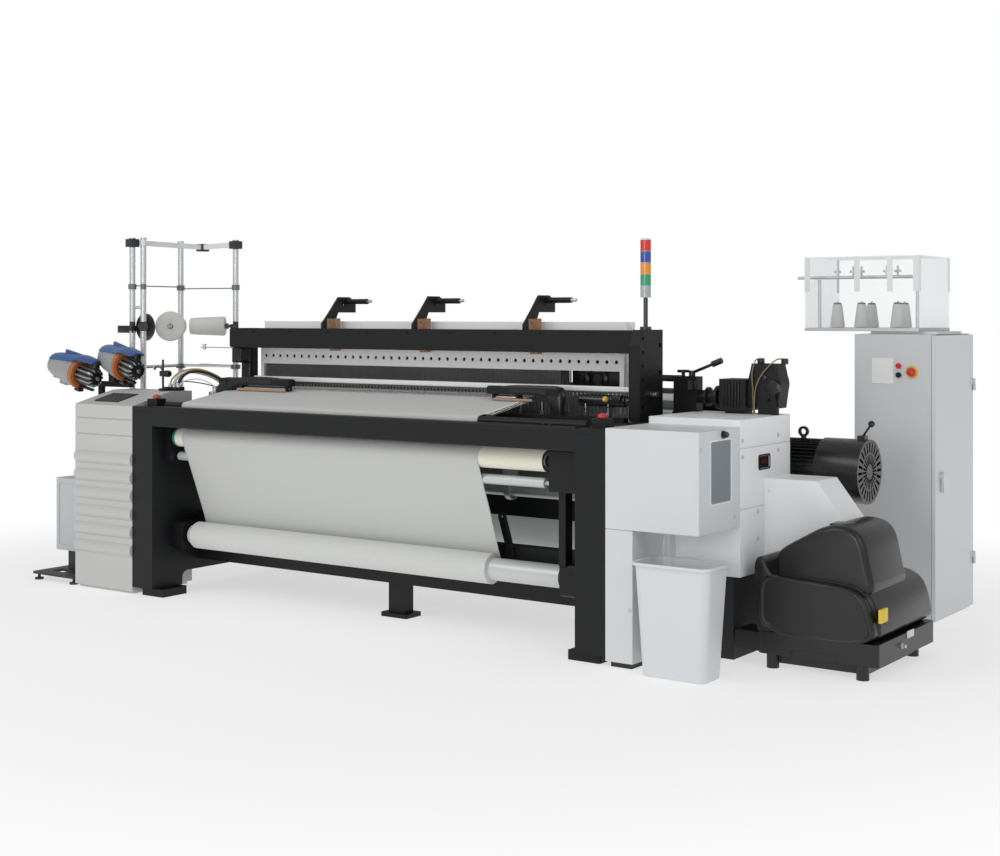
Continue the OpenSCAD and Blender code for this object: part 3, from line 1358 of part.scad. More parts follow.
module right_stop_button() {
    stop_button(button_x);
}

left_side_frame();
right_side_frame();
frame_feet();
front_beam();
cross_stays();
upper_beam();
light_tower();
heald_guides();
cloth();
temples();
roller_brackets();
left_cabinet();
side_unit();
feeder_stand();
feeder_housings();
creel_stand();
yarn_cones();
stop_motion();
warp_sheet();
gear_housing();
front_box();
belt_cover();
motor_body();
motor_fan_cover();
cam_box_base();
cam_box_lid();
bin();
let_off_drive();
cabinet_body();
selvedge_box();
selvedge_rail();
air_hoses();
takeup_roller();
press_roller();
guide_roller();
cloth_beam();
cloth_roll();
sley();
reed();
nozzles();
heald_frames_odd();
heald_frames_even();
warp_beam();
warp_yarn();
back_rest();
motor_fan();
feeder_winder_1();
feeder_winder_2();
left_stop_button();
right_stop_button();
cabinet_door();
door_handle();
cabinet_estop();
button_red();
button_black();
hand_lever();
ball_lever();
box_knob();
temple_rollers();
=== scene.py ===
# %% [markdown]
# This file dresses an air-jet loom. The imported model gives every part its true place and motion,
# and this lesson adds what a photographer would see: paint, cloth, yarn, wires and small fittings.
# The frame is loaded first and is never moved.

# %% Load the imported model
import math

import bmesh
import bpy
import numpy as np
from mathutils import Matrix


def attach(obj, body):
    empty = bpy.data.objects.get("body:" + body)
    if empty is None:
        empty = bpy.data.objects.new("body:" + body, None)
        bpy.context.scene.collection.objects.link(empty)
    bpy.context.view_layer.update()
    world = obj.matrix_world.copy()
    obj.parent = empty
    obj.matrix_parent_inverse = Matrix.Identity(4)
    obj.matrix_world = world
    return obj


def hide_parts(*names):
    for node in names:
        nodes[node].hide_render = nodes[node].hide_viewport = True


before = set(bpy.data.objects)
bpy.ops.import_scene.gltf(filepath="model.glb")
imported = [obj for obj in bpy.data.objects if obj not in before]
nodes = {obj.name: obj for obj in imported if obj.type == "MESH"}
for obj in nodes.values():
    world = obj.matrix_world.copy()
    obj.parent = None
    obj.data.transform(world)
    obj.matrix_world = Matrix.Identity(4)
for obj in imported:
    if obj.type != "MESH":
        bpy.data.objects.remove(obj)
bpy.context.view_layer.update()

# %% [markdown]
# The picture was taken level, from eye height, with the camera turned to the left. A level camera
# keeps upright edges upright, and a little shift puts the horizon where the photographer had it.
# The focal length is worked out from the picture's width and the distance of its vanishing points.

# %% Camera
IMAGE_WIDTH = 1000
FOCAL_PIXELS = 1553
HORIZON_ROW = 316
MIDDLE_ROW = 428
EYE = (4.7957, -6.1432, 1.45)
TURN_LEFT = math.radians(35.3)

camera_data = bpy.data.cameras.new("camera")
camera_data.sensor_width = 36.0
camera_data.lens = camera_data.sensor_width * FOCAL_PIXELS / IMAGE_WIDTH
camera_data.shift_y = (HORIZON_ROW - MIDDLE_ROW) / IMAGE_WIDTH
camera_data.clip_end = 100.0
camera = bpy.data.objects.new("camera", camera_data)
camera.location = EYE
camera.rotation_euler = (math.pi / 2, 0.0, TURN_LEFT)
bpy.context.scene.collection.objects.link(camera)
bpy.context.scene.camera = camera
print("lens", round(camera_data.lens, 1), "mm")

# %% [markdown]
# New pieces are written in the millimetres of the workshop drawing: across, depth from the front
# face of the side frames, and height. One function turns them into the metres of the row frame.
# A shell is a pair: an array of points, and an array of four-sided faces that index them.

# %% From drawing millimetres to metres
FRONT_FACE_Y = -0.650
ROOT = "root"


def drawn(points):
    """Millimetres (across, depth, height) become metres: divide by 1000, then move by the front face."""
    return np.asarray(points, float) / 1000 + np.array([0.0, FRONT_FACE_Y, 0.0])


def grid_faces(rows, columns, ring=True):
    """Four-sided faces of a rows by columns grid of points, closed round its columns when ring is true."""
    i, j = np.meshgrid(np.arange(rows - 1), np.arange(columns if ring else columns - 1), indexing="ij")
    k = (j + 1) % columns
    near, far = i * columns, (i + 1) * columns
    return np.stack([near + j, near + k, far + k, far + j], -1).reshape(-1, 4)


def joined(shells):
    """Several shells as one, their face numbers moved past the points that come before."""
    points, faces, count = [], [], 0
    for shell_points, shell_faces in shells:
        points.append(shell_points)
        faces.append(shell_faces + count)
        count += len(shell_points)
    return np.concatenate(points), np.concatenate(faces)


def in_scene(name, points, faces):
    """A mesh object of points in metres and faces, linked into the scene."""
    mesh = bpy.data.meshes.new(name)
    mesh.from_pydata(points.tolist(), [], faces.tolist())
    made = bpy.data.objects.new(name, mesh)
    bpy.context.scene.collection.objects.link(made)
    return made, mesh


def piece(name, shells, finish, body=ROOT, crease=35, closed=True):
    """A mesh object in its place: doubles merged, faces turned outwards, edges sharper than crease kept."""
    points, faces = joined(shells if isinstance(shells, list) else [shells])
    made, mesh = in_scene(name, drawn(points), faces)
    work = bmesh.new()
    work.from_mesh(mesh)
    bmesh.ops.remove_doubles(work, verts=work.verts, dist=2e-6)
    if closed:
        bmesh.ops.recalc_face_normals(work, faces=work.faces)
    work.to_mesh(mesh)
    work.free()
    mesh.polygons.foreach_set("use_smooth", np.ones(len(mesh.polygons), bool))
    mesh.set_sharp_from_angle(angle=math.radians(crease))
    mesh.materials.append(finish)
    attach(made, body)
    return made


print("zero of the drawing at", drawn([0, 0, 0]).tolist(), "m")

# %% [markdown]
# Paint and light are made of shader nodes. A few short helpers make a node, wire its inputs and
# blend two values, so that each finish further down reads like a recipe.

# %% Nodes in short
def fill(tree, made, inputs):
    """Each input of a node linked to a socket or given its value."""
    for key, value in dict(inputs).items():
        if isinstance(value, bpy.types.NodeSocket):
            tree.links.new(value, made.inputs[key])
        else:
            made.inputs[key].default_value = value
    return made


def node(tree, kind, inputs=(), **settings):
    """One shader node: its settings, then its inputs."""
    made = tree.nodes.new("ShaderNode" + kind)
    for key, value in settings.items():
        setattr(made, key, value)
    return fill(tree, made, inputs)


def blank_material(name):
    """A new material with its node tree and the one shader that it starts with."""
    made = bpy.data.materials.new(name)
    made.use_nodes = True
    return made, made.node_tree, made.node_tree.nodes["Principled BSDF"]


def maths(tree, operation, *values):
    """One arithmetic node."""
    return node(tree, "Math", dict(enumerate(values)), operation=operation).outputs[0]


def box_mask(tree, where, low, high):
    """1 inside a box: the distance from its middle, over its half size, is below 1 on all three axes."""
    low, high = np.asarray(low, float), np.asarray(high, float)
    middle, half = (low + high) / 2, (high - low) / 2
    shifted = node(tree, "VectorMath", {0: where, 1: middle.tolist()}, operation="SUBTRACT").outputs[0]
    scaled = node(tree, "VectorMath", {0: shifted, 1: half.tolist()}, operation="DIVIDE").outputs[0]
    bare = node(tree, "VectorMath", {0: scaled}, operation="ABSOLUTE").outputs[0]
    x, y, z = node(tree, "SeparateXYZ", {0: bare}).outputs
    largest = maths(tree, "MAXIMUM", maths(tree, "MAXIMUM", x, y), z)
    return maths(tree, "LESS_THAN", largest, 1.0)


def blended(tree, mask, first, second):
    """first + mask * (second - first), for colours."""
    ends = [(*c, 1.0) if isinstance(c, tuple) else c for c in (first, second)]
    return node(tree, "Mix", {0: mask, 6: ends[0], 7: ends[1]}, data_type="RGBA").outputs[2]


def mixed(tree, mask, first, second):
    """first + mask * (second - first), for numbers."""
    return node(tree, "Mix", {0: mask, 2: first, 3: second}).outputs[0]


print("materials so far", len(bpy.data.materials))

# %% [markdown]
# A finish has a broad mottle for the colour, a fine grain for the bump, and a bevel that catches
# light along edges, as a sprayed or machined edge does. A machine part often carries patches of
# other colours, so a finish takes zones: boxes inside which colour, roughness and metal change.

# %% Zones and finishes
EVERYWHERE = 50000


def zone(colour, roughness=0.45, metallic=0.0, x=(-EVERYWHERE, EVERYWHERE), d=(-EVERYWHERE, EVERYWHERE),
         z=(-EVERYWHERE, EVERYWHERE)):
    """A patch of another finish: its box in drawing millimetres, turned into metres."""
    low, high = drawn([x[0], d[0], z[0]]), drawn([x[1], d[1], z[1]])
    return {"low": low, "high": high, "colour": colour, "roughness": roughness, "metallic": metallic}


def finish(name, colour, roughness, metallic=0.0, grain=700.0, depth=0.0002, mottle=0.05, spread=0.06,
           stretch=(1.0, 1.0, 1.0), zones=(), edge=0.0015, coat=0.0, specular=0.5):
    """Paint or metal: broad noise mottles the colour, fine noise moves roughness and bump."""
    made, tree, shader = blank_material(name)
    where = node(tree, "TexCoord").outputs["Object"]
    drawn_out = node(tree, "Mapping", {"Vector": where, "Scale": stretch}).outputs[0]
    fine = node(tree, "TexNoise", {"Vector": drawn_out, "Scale": grain, "Detail": 2.0}).outputs["Fac"]
    broad = node(tree, "TexNoise", {"Vector": where, "Scale": 3.1, "Detail": 4.0}).outputs["Fac"]
    dark = tuple(c * (1 - mottle) for c in colour)
    light = tuple(min(1.0, c * (1 + mottle)) for c in colour)
    tint = blended(tree, broad, dark, light)
    rough = mixed(tree, fine, max(0.02, roughness - spread), min(1.0, roughness + spread))
    metal = None
    for patch in zones:
        mask = box_mask(tree, where, patch["low"], patch["high"])
        tint = blended(tree, mask, tint, patch["colour"])
        rough = mixed(tree, mask, rough, patch["roughness"])
        if any(p["metallic"] != metallic for p in zones):
            metal = mixed(tree, mask, metallic if metal is None else metal, patch["metallic"])
    bump = node(tree, "Bump", {"Height": fine, "Strength": 0.35, "Distance": depth})
    if edge:
        fill(tree, bump, {"Normal": node(tree, "Bevel", {"Radius": edge}, samples=4).outputs[0]})
    fill(tree, shader, {"Base Color": tint, "Roughness": rough, "Normal": bump.outputs[0],
                        "Metallic": metallic if metal is None else metal, "Coat Weight": coat,
                        "Specular IOR Level": specular})
    return made


print("a zone without limits is", 2 * EVERYWHERE / 1000, "m wide")

# %% [markdown]
# The studio is plain: a pale floor that keeps the soft shadow and turns to bare white further out,
# a white backdrop that only the camera sees, three large soft lamps and an even sky.

# %% Floor, backdrop and light
WHITE = (1.0, 1.0, 1.0, 1.0)


def flat_sheet(name, x_range, y_range, grey):
    """A flat grid of nine points on the ground, as a stage piece: its node tree and its shader."""
    x, y = np.meshgrid(np.linspace(*x_range, 3), np.linspace(*y_range, 3), indexing="ij")
    points = np.stack([x, y, np.zeros_like(x)], -1).reshape(-1, 3)
    made, mesh = in_scene(name, points, grid_faces(3, 3, ring=False))
    paper, tree, shader = blank_material(name)
    fill(tree, shader, {"Base Color": (grey, grey, grey, 1.0), "Roughness": 0.9, "Specular IOR Level": 0.0})
    mesh.materials.append(paper)
    return tree, shader


tree, shader = flat_sheet("floor", (-16, 16), (-10, 22), 0.93)
ground = node(tree, "TexCoord").outputs["Object"]
about = node(tree, "VectorMath", {0: ground, 1: (1.0, 1.0, 0.0)}, operation="MULTIPLY").outputs[0]
away = node(tree, "VectorMath", {0: about}, operation="LENGTH").outputs["Value"]
fade = node(tree, "MapRange", {"Value": away, "From Min": 2.4, "From Max": 4.6, "To Min": 0.6, "To Max": 1.0},
            interpolation_type="SMOOTHSTEP").outputs[0]
glow = node(tree, "Emission", {"Color": WHITE, "Strength": 1.0})
paper = node(tree, "MixShader", {0: fade, 1: shader.outputs[0], 2: glow.outputs[0]})
fill(tree, tree.nodes["Material Output"], {"Surface": paper.outputs[0]})

world = bpy.data.worlds.new("studio")
bpy.context.scene.world = world
world.use_nodes = True
sky = world.node_tree
for old in list(sky.nodes):
    sky.nodes.remove(old)
rays = node(sky, "LightPath")
seen = maths(sky, "MAXIMUM", rays.outputs["Is Camera Ray"], rays.outputs["Is Transmission Ray"])
even = node(sky, "Background", {"Color": WHITE, "Strength": 0.5})
white = node(sky, "Background", {"Color": WHITE, "Strength": 1.0})
choice = node(sky, "MixShader", {0: seen, 1: even.outputs[0], 2: white.outputs[0]})
node(sky, "OutputWorld", {"Surface": choice.outputs[0]})
bpy.context.scene.view_settings.view_transform = "Standard"


def soft_lamp(name, location, target, size, power):
    """An area lamp that looks at a target."""
    data = bpy.data.lights.new(name, "AREA")
    data.shape = "DISK"
    data.size = size
    data.energy = power
    made = bpy.data.objects.new(name, data)
    made.location = location
    away = np.asarray(location, float) - np.asarray(target, float)
    flat = math.hypot(away[0], away[1])
    made.rotation_euler = (math.atan2(flat, away[2]), 0.0, math.atan2(away[1], away[0]) + math.pi / 2)
    bpy.context.scene.collection.objects.link(made)


soft_lamp("key_lamp", (-2.5, -6.0, 5.5), (0, 0, 0.7), 4.0, 120)
soft_lamp("side_lamp", (7.5, -3.5, 4.0), (0.8, 0, 0.7), 3.5, 60)
soft_lamp("front_lamp", (2.0, -8.0, 1.7), (0, 0, 0.9), 2.5, 85)
print("lamps", len(bpy.data.lights))

# %% [markdown]
# Paints and plastics are made once here and shared by many pieces. Colours are plain linear values.
# An image of each surface would be sharper, but it would hold for one picture only, and noise with
# a bevel holds from every side. Black paint and sheet metal paint have a short helper each, since
# several parts wear them with patches of their own.

# %% Finishes of paint, plastic and metal
BLACK = (0.0075, 0.008, 0.0092)
STEEL = (0.62, 0.63, 0.65)
DARK = (0.03, 0.03, 0.032)


def black_coat(name, edge=0.002, zones=()):
    """The loom's black paint."""
    return finish(name, BLACK, 0.42, grain=900, depth=0.0003, edge=edge, specular=0.3, zones=zones)


def sheet_coat(name, colour, roughness=0.42, mottle=0.02, edge=0.003, zones=()):
    """Powder paint on sheet metal: a fine even grain."""
    return finish(name, colour, roughness, grain=1100, depth=0.0002, mottle=mottle, edge=edge, zones=zones)


black_paint = black_coat("black_paint")
black_gloss = finish("black_gloss", (0.01, 0.01, 0.011), 0.27, grain=500)
ground_steel = finish("ground_steel", STEEL, 0.3, 1.0, grain=60, stretch=(1, 30, 30), mottle=0.08)
dark_steel = finish("dark_steel", (0.16, 0.16, 0.17), 0.35, 0.9, grain=200)
cast_aluminium = finish("cast_aluminium", (0.66, 0.67, 0.69), 0.4, 0.9, grain=600, mottle=0.06)
white_paint = finish("white_paint", (0.84, 0.85, 0.86), 0.4, grain=900, mottle=0.02)
grained_black = finish("grained_black", (0.011, 0.011, 0.012), 0.29, grain=1400, depth=0.0004, edge=0.006,
                       specular=0.5)
brown_bakelite = finish("brown_bakelite", (0.45, 0.27, 0.16), 0.5, grain=300, mottle=0.2, stretch=(1, 1, 0.2))
orange_plastic = finish("orange_plastic", (0.48, 0.15, 0.04), 0.4, mottle=0.08)
blue_plastic = finish("blue_plastic", (0.015, 0.085, 0.28), 0.35, coat=0.3, mottle=0.05)
shell_grey = finish("shell_grey", (0.3, 0.31, 0.32), 0.45, mottle=0.05)
red_plastic = finish("red_plastic", (0.6, 0.02, 0.02), 0.35, coat=0.3)
yellow_plastic = finish("yellow_plastic", (0.75, 0.55, 0.03), 0.45)
white_plastic = finish("white_plastic", (0.68, 0.7, 0.72), 0.35, mottle=0.015)
print("materials", len(bpy.data.materials))

# %% [markdown]
# Each solid of the frame gets its finish. Where the photograph shows one casting with patches of
# another colour, such as lamps in a tower or a keypad on a cabinet, the patches are zones.


def dress(finish_made, *names):
    """Puts one finish on CAD nodes by name."""
    for name in names:
        nodes[name].data.materials.clear()
        nodes[name].data.materials.append(finish_made)


LAMP_COLOURS = [(0.42, 0.47, 0.46), (0.03, 0.36, 0.17), (0.85, 0.3, 0.02), (0.03, 0.09, 0.42),
                (0.7, 0.03, 0.02)]
LAMP_Z0 = 1535
LAMP_PITCH = 52
lamp_zones = [zone(DARK, 0.4, z=(1380, LAMP_Z0 - 2))]
lamp_zones += [zone(colour, 0.25, z=(LAMP_Z0 + i * LAMP_PITCH, LAMP_Z0 + i * LAMP_PITCH + 50))
               for i, colour in enumerate(LAMP_COLOURS)]
lamp_glass = finish("lamp_glass", (0.85, 0.86, 0.86), 0.3, grain=300, mottle=0.02, zones=lamp_zones, coat=0.4,
                    edge=0.001)

leg_seam = zone((0.004, 0.004, 0.005), 0.7, d=(-2, 3), z=(955, 957))
frame_finish = black_coat("frame_paint", zones=[leg_seam])
beam_finish = black_coat("front_beam_paint", edge=0.0)
upper_finish = black_coat("upper_beam_paint", zones=[zone(STEEL, 0.3, 1.0, x=(1316, 1350))])
BRACKET_X = (-633, -31, 640)
BRACKET_D = (600, 692)
BROWN = (0.45, 0.27, 0.16)
guide_zones = [zone(BROWN, 0.5, x=(x + a, x + b), d=BRACKET_D, z=(1200, 1480))
               for a, b in ((-24, -8.2), (8.2, 24)) for x in BRACKET_X]
guide_zones += [zone(BROWN, 0.5, d=BRACKET_D, z=(1200, 1436)), zone((0.4, 0.24, 0.14), 0.5, z=(850, 975))]
guide_zones += [zone(STEEL, 0.25, 1.0, x=(x + 150, x + 180), d=(740, 780)) for x in BRACKET_X]
guide_finish = black_coat("heald_guide_paint", edge=0.0015, zones=guide_zones)

dress(frame_finish, "left_side_frame", "right_side_frame")
dress(black_paint, "frame_feet", "cross_stays", "roller_brackets", "temples", "feeder_stand", "let_off_drive")
dress(beam_finish, "front_beam")
dress(upper_finish, "upper_beam")
dress(guide_finish, "heald_guides")
dress(lamp_glass, "light_tower")
print("materials", len(bpy.data.materials))

# %% [markdown]
# The take-up roller is covered in pale rubber with a green band at its end, and the heald frames
# are light metal above and below the opening where the healds hang. That opening is painted near
# black, partly for the healds' own steel and partly as painted shade deep between the wires. The
# opening is a zone too, fixed to its frame. Its place is worked out from the sills of the frames,
# which later cells use for the wires.

# %% Finishes of the rollers and the shed
cream = (0.83, 0.81, 0.68)
HEALD_D0 = 705
HEALD_PITCH = 30
ODD_SILL = 830.5
EVEN_SILL = 940.5
end_bands = [zone((0.02, 0.3, 0.17), 0.5, x=(-1400, -1218)), zone(DARK, 0.5, x=(1066, 1400))]
takeup_finish = finish("takeup_covering", cream, 0.75, grain=1500, depth=0.0004, edge=0.001, specular=0.25,
                       zones=end_bands)
guide_metal = finish("guide_roller_metal", (0.6, 0.62, 0.63), 0.42, 0.35, grain=90, stretch=(1, 20, 20))
beam_tube = finish("cloth_beam_tube", (0.6, 0.61, 0.61), 0.35, 0.2, mottle=0.04)
HEALD_OPENING = 361
comb_places = [HEALD_D0 + k * HEALD_PITCH for k in range(4)]
# Near black in the openings: partly the healds' own steel, partly painted shade deep between the wires.
heald_steel_and_shade = (0.05, 0.05, 0.05)
comb_zones = [zone(heald_steel_and_shade, 0.5, 0.3, x=(-1163, 768), d=(d - 5, d + 5), z=(sill, sill + HEALD_OPENING))
              for d, sill in zip(comb_places, (ODD_SILL, EVEN_SILL) * 2)]
heald_paint = finish("heald_frame_paint", (0.96, 0.96, 0.955), 0.4, grain=60, stretch=(1, 8, 30), mottle=0.02,
                     zones=comb_zones)
drum_grey = finish("beam_yarn_grey", (0.3, 0.31, 0.31), 0.38, 0.3, grain=300, stretch=(0.3, 3, 3), mottle=0.1)
sley_metal = finish("sley_metal", (0.42, 0.43, 0.44), 0.4, 0.7, grain=80, stretch=(1, 20, 20))
reed_metal = finish("reed_metal", (0.1, 0.1, 0.105), 0.4, 0.6, edge=0.0,
                    zones=[zone((0.82, 0.83, 0.84), 0.35, 0.2, z=(1104.9, 1140))])

dress(takeup_finish, "takeup_roller")
dress(dark_steel, "press_roller", "stop_motion", "motor_fan")
dress(guide_metal, "guide_roller")
dress(beam_tube, "cloth_beam")
dress(ground_steel, "temple_rollers", "back_rest", "nozzles")
dress(cast_aluminium, "warp_beam", "selvedge_rail")
dress(heald_paint, "heald_frames_odd", "heald_frames_even")
dress(drum_grey, "warp_yarn")
dress(sley_metal, "sley")
dress(reed_metal, "reed")
print("materials", len(bpy.data.materials))

# %% [markdown]
# Housings and cabinets are folded sheet with powder paint. What sits flush in them, such as a
# keypad, a window or a plinth, is a patch of another colour in the same finish.

# %% Finishes of the housings and the cabinets
CAB_LEFT_X = -1890
CONTROL_FRONT = (1640, 1647.9)
RUBBER = (0.02, 0.02, 0.022)
keypad = zone((0.05, 0.055, 0.06), 0.6, x=(CAB_LEFT_X + 86, CAB_LEFT_X + 284), d=(50, 200), z=(990, 1060))
cabinet_left = sheet_coat("left_cabinet_paint", (0.53, 0.535, 0.52), zones=[keypad])
side_unit_paint = finish("side_unit_paint", DARK, 0.5, zones=[zone((0.5, 0.54, 0.55), 0.45, z=(150, 551))])
housing_paint = sheet_coat("housing_paint", (0.88, 0.89, 0.9), 0.38, 0.015, 0.004, zones=[
    zone((0.012, 0.012, 0.014), 0.15, x=(2, 1875), d=(540, 642), z=(800, 852)),
    zone(RUBBER, 0.6, z=(-10, 359))])
front_box_paint = sheet_coat("front_box_paint", (0.66, 0.675, 0.685), 0.38, 0.015, 0.004, zones=[
    zone((0.33, 0.38, 0.42), 0.25, x=(1870, 1872.5), d=(98, 282), z=(686, 945)),
    zone(RUBBER, 0.6, z=(-10, 23))])
cabinet_paint = sheet_coat("cabinet_paint", (0.62, 0.64, 0.66), zones=[
    zone((0.8, 0.81, 0.79), 0.4, x=(1932, 2046), d=CONTROL_FRONT, z=(1124, 1249)),
    zone((0.8, 0.5, 0.03), 0.45, x=(2100, 2166), d=CONTROL_FRONT, z=(1150, 1220)),
    zone(STEEL, 0.35, 0.9, x=(2246, 2300), z=(200, 1150))])
door_paint = sheet_coat("cabinet_door_paint", (0.66, 0.67, 0.69))

dress(cabinet_left, "left_cabinet")
dress(side_unit_paint, "side_unit")
dress(housing_paint, "gear_housing", "belt_cover")
dress(front_box_paint, "front_box")
dress(cabinet_paint, "cabinet_body")
dress(door_paint, "cabinet_door")
dress(black_gloss, "motor_body", "motor_fan_cover", "hand_lever", "ball_lever", "box_knob", "button_black")
dress(cast_aluminium, "door_handle")
dress(grained_black, "cam_box_base", "cam_box_lid")
block_zones = [zone(DARK, 0.45, x=(x - 30, x + 30), d=(d - 30, d + 30), z=(1850, 1900))
               for x, d in ((-2182, 655), (-2310, 1336), (-1870, 1182))]
creel_zones = [zone((0.8, 0.81, 0.82), 0.4, z=(1862, 1894)), *block_zones,
               zone((0.2, 0.2, 0.21), 0.4, 0.5, z=(1605, 1637)),
               zone(DARK, 0.5, z=(1363, 1417)), zone(DARK, 0.5, z=(-1, 19))]
creel_finish = finish("creel_tube", (0.66, 0.68, 0.7), 0.3, 0.6, grain=300, mottle=0.04, stretch=(20, 20, 1),
                      zones=creel_zones)
dress(creel_finish, "creel_stand")
dress(white_plastic, "bin")
dress(orange_plastic, "feeder_winder_1", "feeder_winder_2")
dress(shell_grey, "feeder_housings")
dress(red_plastic, "left_stop_button", "right_stop_button", "cabinet_estop", "button_red")
print("materials", len(bpy.data.materials))

# %% [markdown]
# Yarn on a cone is wound crosswise: two sets of fine slanting lines. A little of both waves is
# enough to read as thread from a step away. Hoses are plain, and the clear cover is a thin sheet
# of acrylic that lets light through and gleams at its edges.

# %% Yarn, hoses and clear sheet
def thread_finish(name, colour, first, second, scale=420.0, depth=0.0006):
    """Two slanting bands of fine waves, laid over each other by their lower value."""
    made, tree, shader = blank_material(name)
    where = node(tree, "TexCoord").outputs["Object"]
    heights = []
    for turn in (first, second):
        turned_about = node(tree, "Mapping", {"Vector": where, "Rotation": turn}).outputs[0]
        settings = {"Vector": turned_about, "Scale": scale, "Distortion": 1.2, "Detail": 2.0}
        heights.append(node(tree, "TexWave", settings, bands_direction="Z").outputs["Fac"])
    height = maths(tree, "MINIMUM", *heights)
    broad = node(tree, "TexNoise", {"Vector": where, "Scale": 14.0, "Detail": 3.0}).outputs["Fac"]
    low = tuple(c * 0.86 for c in colour)
    # Colour is darker in the troughs of the waves: painted shade in the grooves between threads.
    tint = blended(tree, height, low, colour)
    tint = blended(tree, maths(tree, "MULTIPLY", broad, 0.3), tint, tuple(c * 0.9 for c in colour))
    bump = node(tree, "Bump", {"Height": height, "Strength": 0.5, "Distance": depth})
    fill(tree, shader, {"Base Color": tint, "Normal": bump.outputs[0], "Roughness": 0.9,
                        "Specular IOR Level": 0.2, "Sheen Weight": 0.25})
    return made


cone_yarn = thread_finish("cone_yarn", (0.76, 0.76, 0.73), (0.5, 0.3, 0.0), (-0.5, -0.3, 0.0))
roll_yarn = thread_finish("roll_cloth", (0.7, 0.71, 0.69), (0.0, 1.57, 0.0), (0.0, 1.57, 0.4), scale=500.0,
                          depth=0.0002)
hose_finish = finish("hose_rubber", (0.72, 0.72, 0.7), 0.45, mottle=0.04)
dress(cone_yarn, "yarn_cones")
dress(roll_yarn, "cloth_roll")
dress(hose_finish, "air_hoses")

clear_sheet, tree, glass = blank_material("clear_sheet")
where = node(tree, "TexCoord").outputs["Object"]
haze = node(tree, "TexNoise", {"Vector": where, "Scale": 5.0, "Detail": 2.0}).outputs["Fac"]
# Painted gleam: the sheet grows more opaque and pale where it is seen edge-on, with a faint haze of noise.
faces_on = node(tree, "LayerWeight", {"Blend": 0.35}).outputs["Facing"]
gleam_and_haze = maths(tree, "ADD", maths(tree, "MULTIPLY", faces_on, 0.45), maths(tree, "MULTIPLY", haze, 0.08))
fill(tree, glass, {"Base Color": (0.86, 0.94, 0.95, 1.0), "Roughness": 0.06, "IOR": 1.49, "Alpha": gleam_and_haze})
dress(clear_sheet, "selvedge_box")
print("dressed nodes", sum(len(n.data.materials) > 0 for n in nodes.values()), "of", len(nodes))

# %% [markdown]
# The cloth is one sheet. From the fell it runs over the breast bar, under the press roller, round
# the take-up roller and down to the cloth roll. Seen from the side its path is straight lines that
# touch circles, so the path is worked out the same way here: for each pair of rollers the line that
# touches both, then the arc between two lines. Along the free stretches the sheet may breathe a
# few millimetres, and nowhere else.

# %% Path of the cloth
def heading(a, b):
    """Direction of the line that touches two circles: the line of centres, turned by asin of their radii."""
    across = np.subtract(b[0], a[0])
    reach = float(np.hypot(*across))
    lean = max(-1.0, min(1.0, (a[2] * a[1] - b[2] * b[1]) / reach))
    return math.atan2(across[1], across[0]) + math.asin(lean)


def sheet_path(stops, step):
    """Points along a sheet over rollers: an arc at each stop, straight between, spaced about step apart."""
    last = len(stops) - 1
    corners = []
    for i, (centre, radius, turn) in enumerate(stops):
        before = heading(stops[i - 1], stops[i]) if i else heading(stops[0], stops[1])
        after = heading(stops[i], stops[i + 1]) if i < last else before
        start = before - turn * math.pi / 2
        swing = turn * ((turn * (after - before)) % (2 * math.pi)) if 0 < i < last else 0.0
        angles = start + np.linspace(0, swing, max(2, int(abs(swing) / 0.12) + 2))
        corners.append(np.asarray(centre) + radius * np.stack([np.cos(angles), np.sin(angles)], -1))
    corner_points = np.concatenate(corners)
    lengths = np.concatenate([[0], np.cumsum(np.hypot(*np.diff(corner_points, axis=0).T))])
    keep = np.concatenate([[True], np.diff(lengths) > 1e-6])
    stations = np.linspace(0, lengths[-1], int(lengths[-1] / step) + 1)
    columns = [np.interp(stations, lengths[keep], corner_points[keep, k]) for k in (0, 1)]
    return np.stack(columns, -1), stations


CLOTH_X = (-1160, 723)
CLOTH_THICK = 0.8
SHEET_OFF = 0.8
TAKEUP = (134, 820)
TAKEUP_R = 47
PRESS_R = 22.5
PRESS_ANGLE = math.radians(40)
PRESS_REACH = TAKEUP_R + PRESS_R + 2 * SHEET_OFF
PRESS = (TAKEUP[0] + PRESS_REACH * math.cos(PRESS_ANGLE), TAKEUP[1] + PRESS_REACH * math.sin(PRESS_ANGLE))
FELL = (470, 1066)
BREAST = (104, 985)
ROLL = (205, 310)
ROLL_R = 69
cloth_stops = [(FELL, 0, 1), (BREAST, 20 + SHEET_OFF, 1), (PRESS, PRESS_R + SHEET_OFF, -1),
               (TAKEUP, TAKEUP_R + SHEET_OFF, 1), (ROLL, ROLL_R + SHEET_OFF, -1)]
path, stations = sheet_path(cloth_stops, 7.0)
print("cloth", round(stations[-1]), "mm from fell to roll,", len(path), "rows")

# %% [markdown]
# A weave could be modelled thread by thread, at millions of faces. Two waves that cross, read from
# the sheet's own flat map, give the same look as a bump, and they follow the cloth round the rollers.

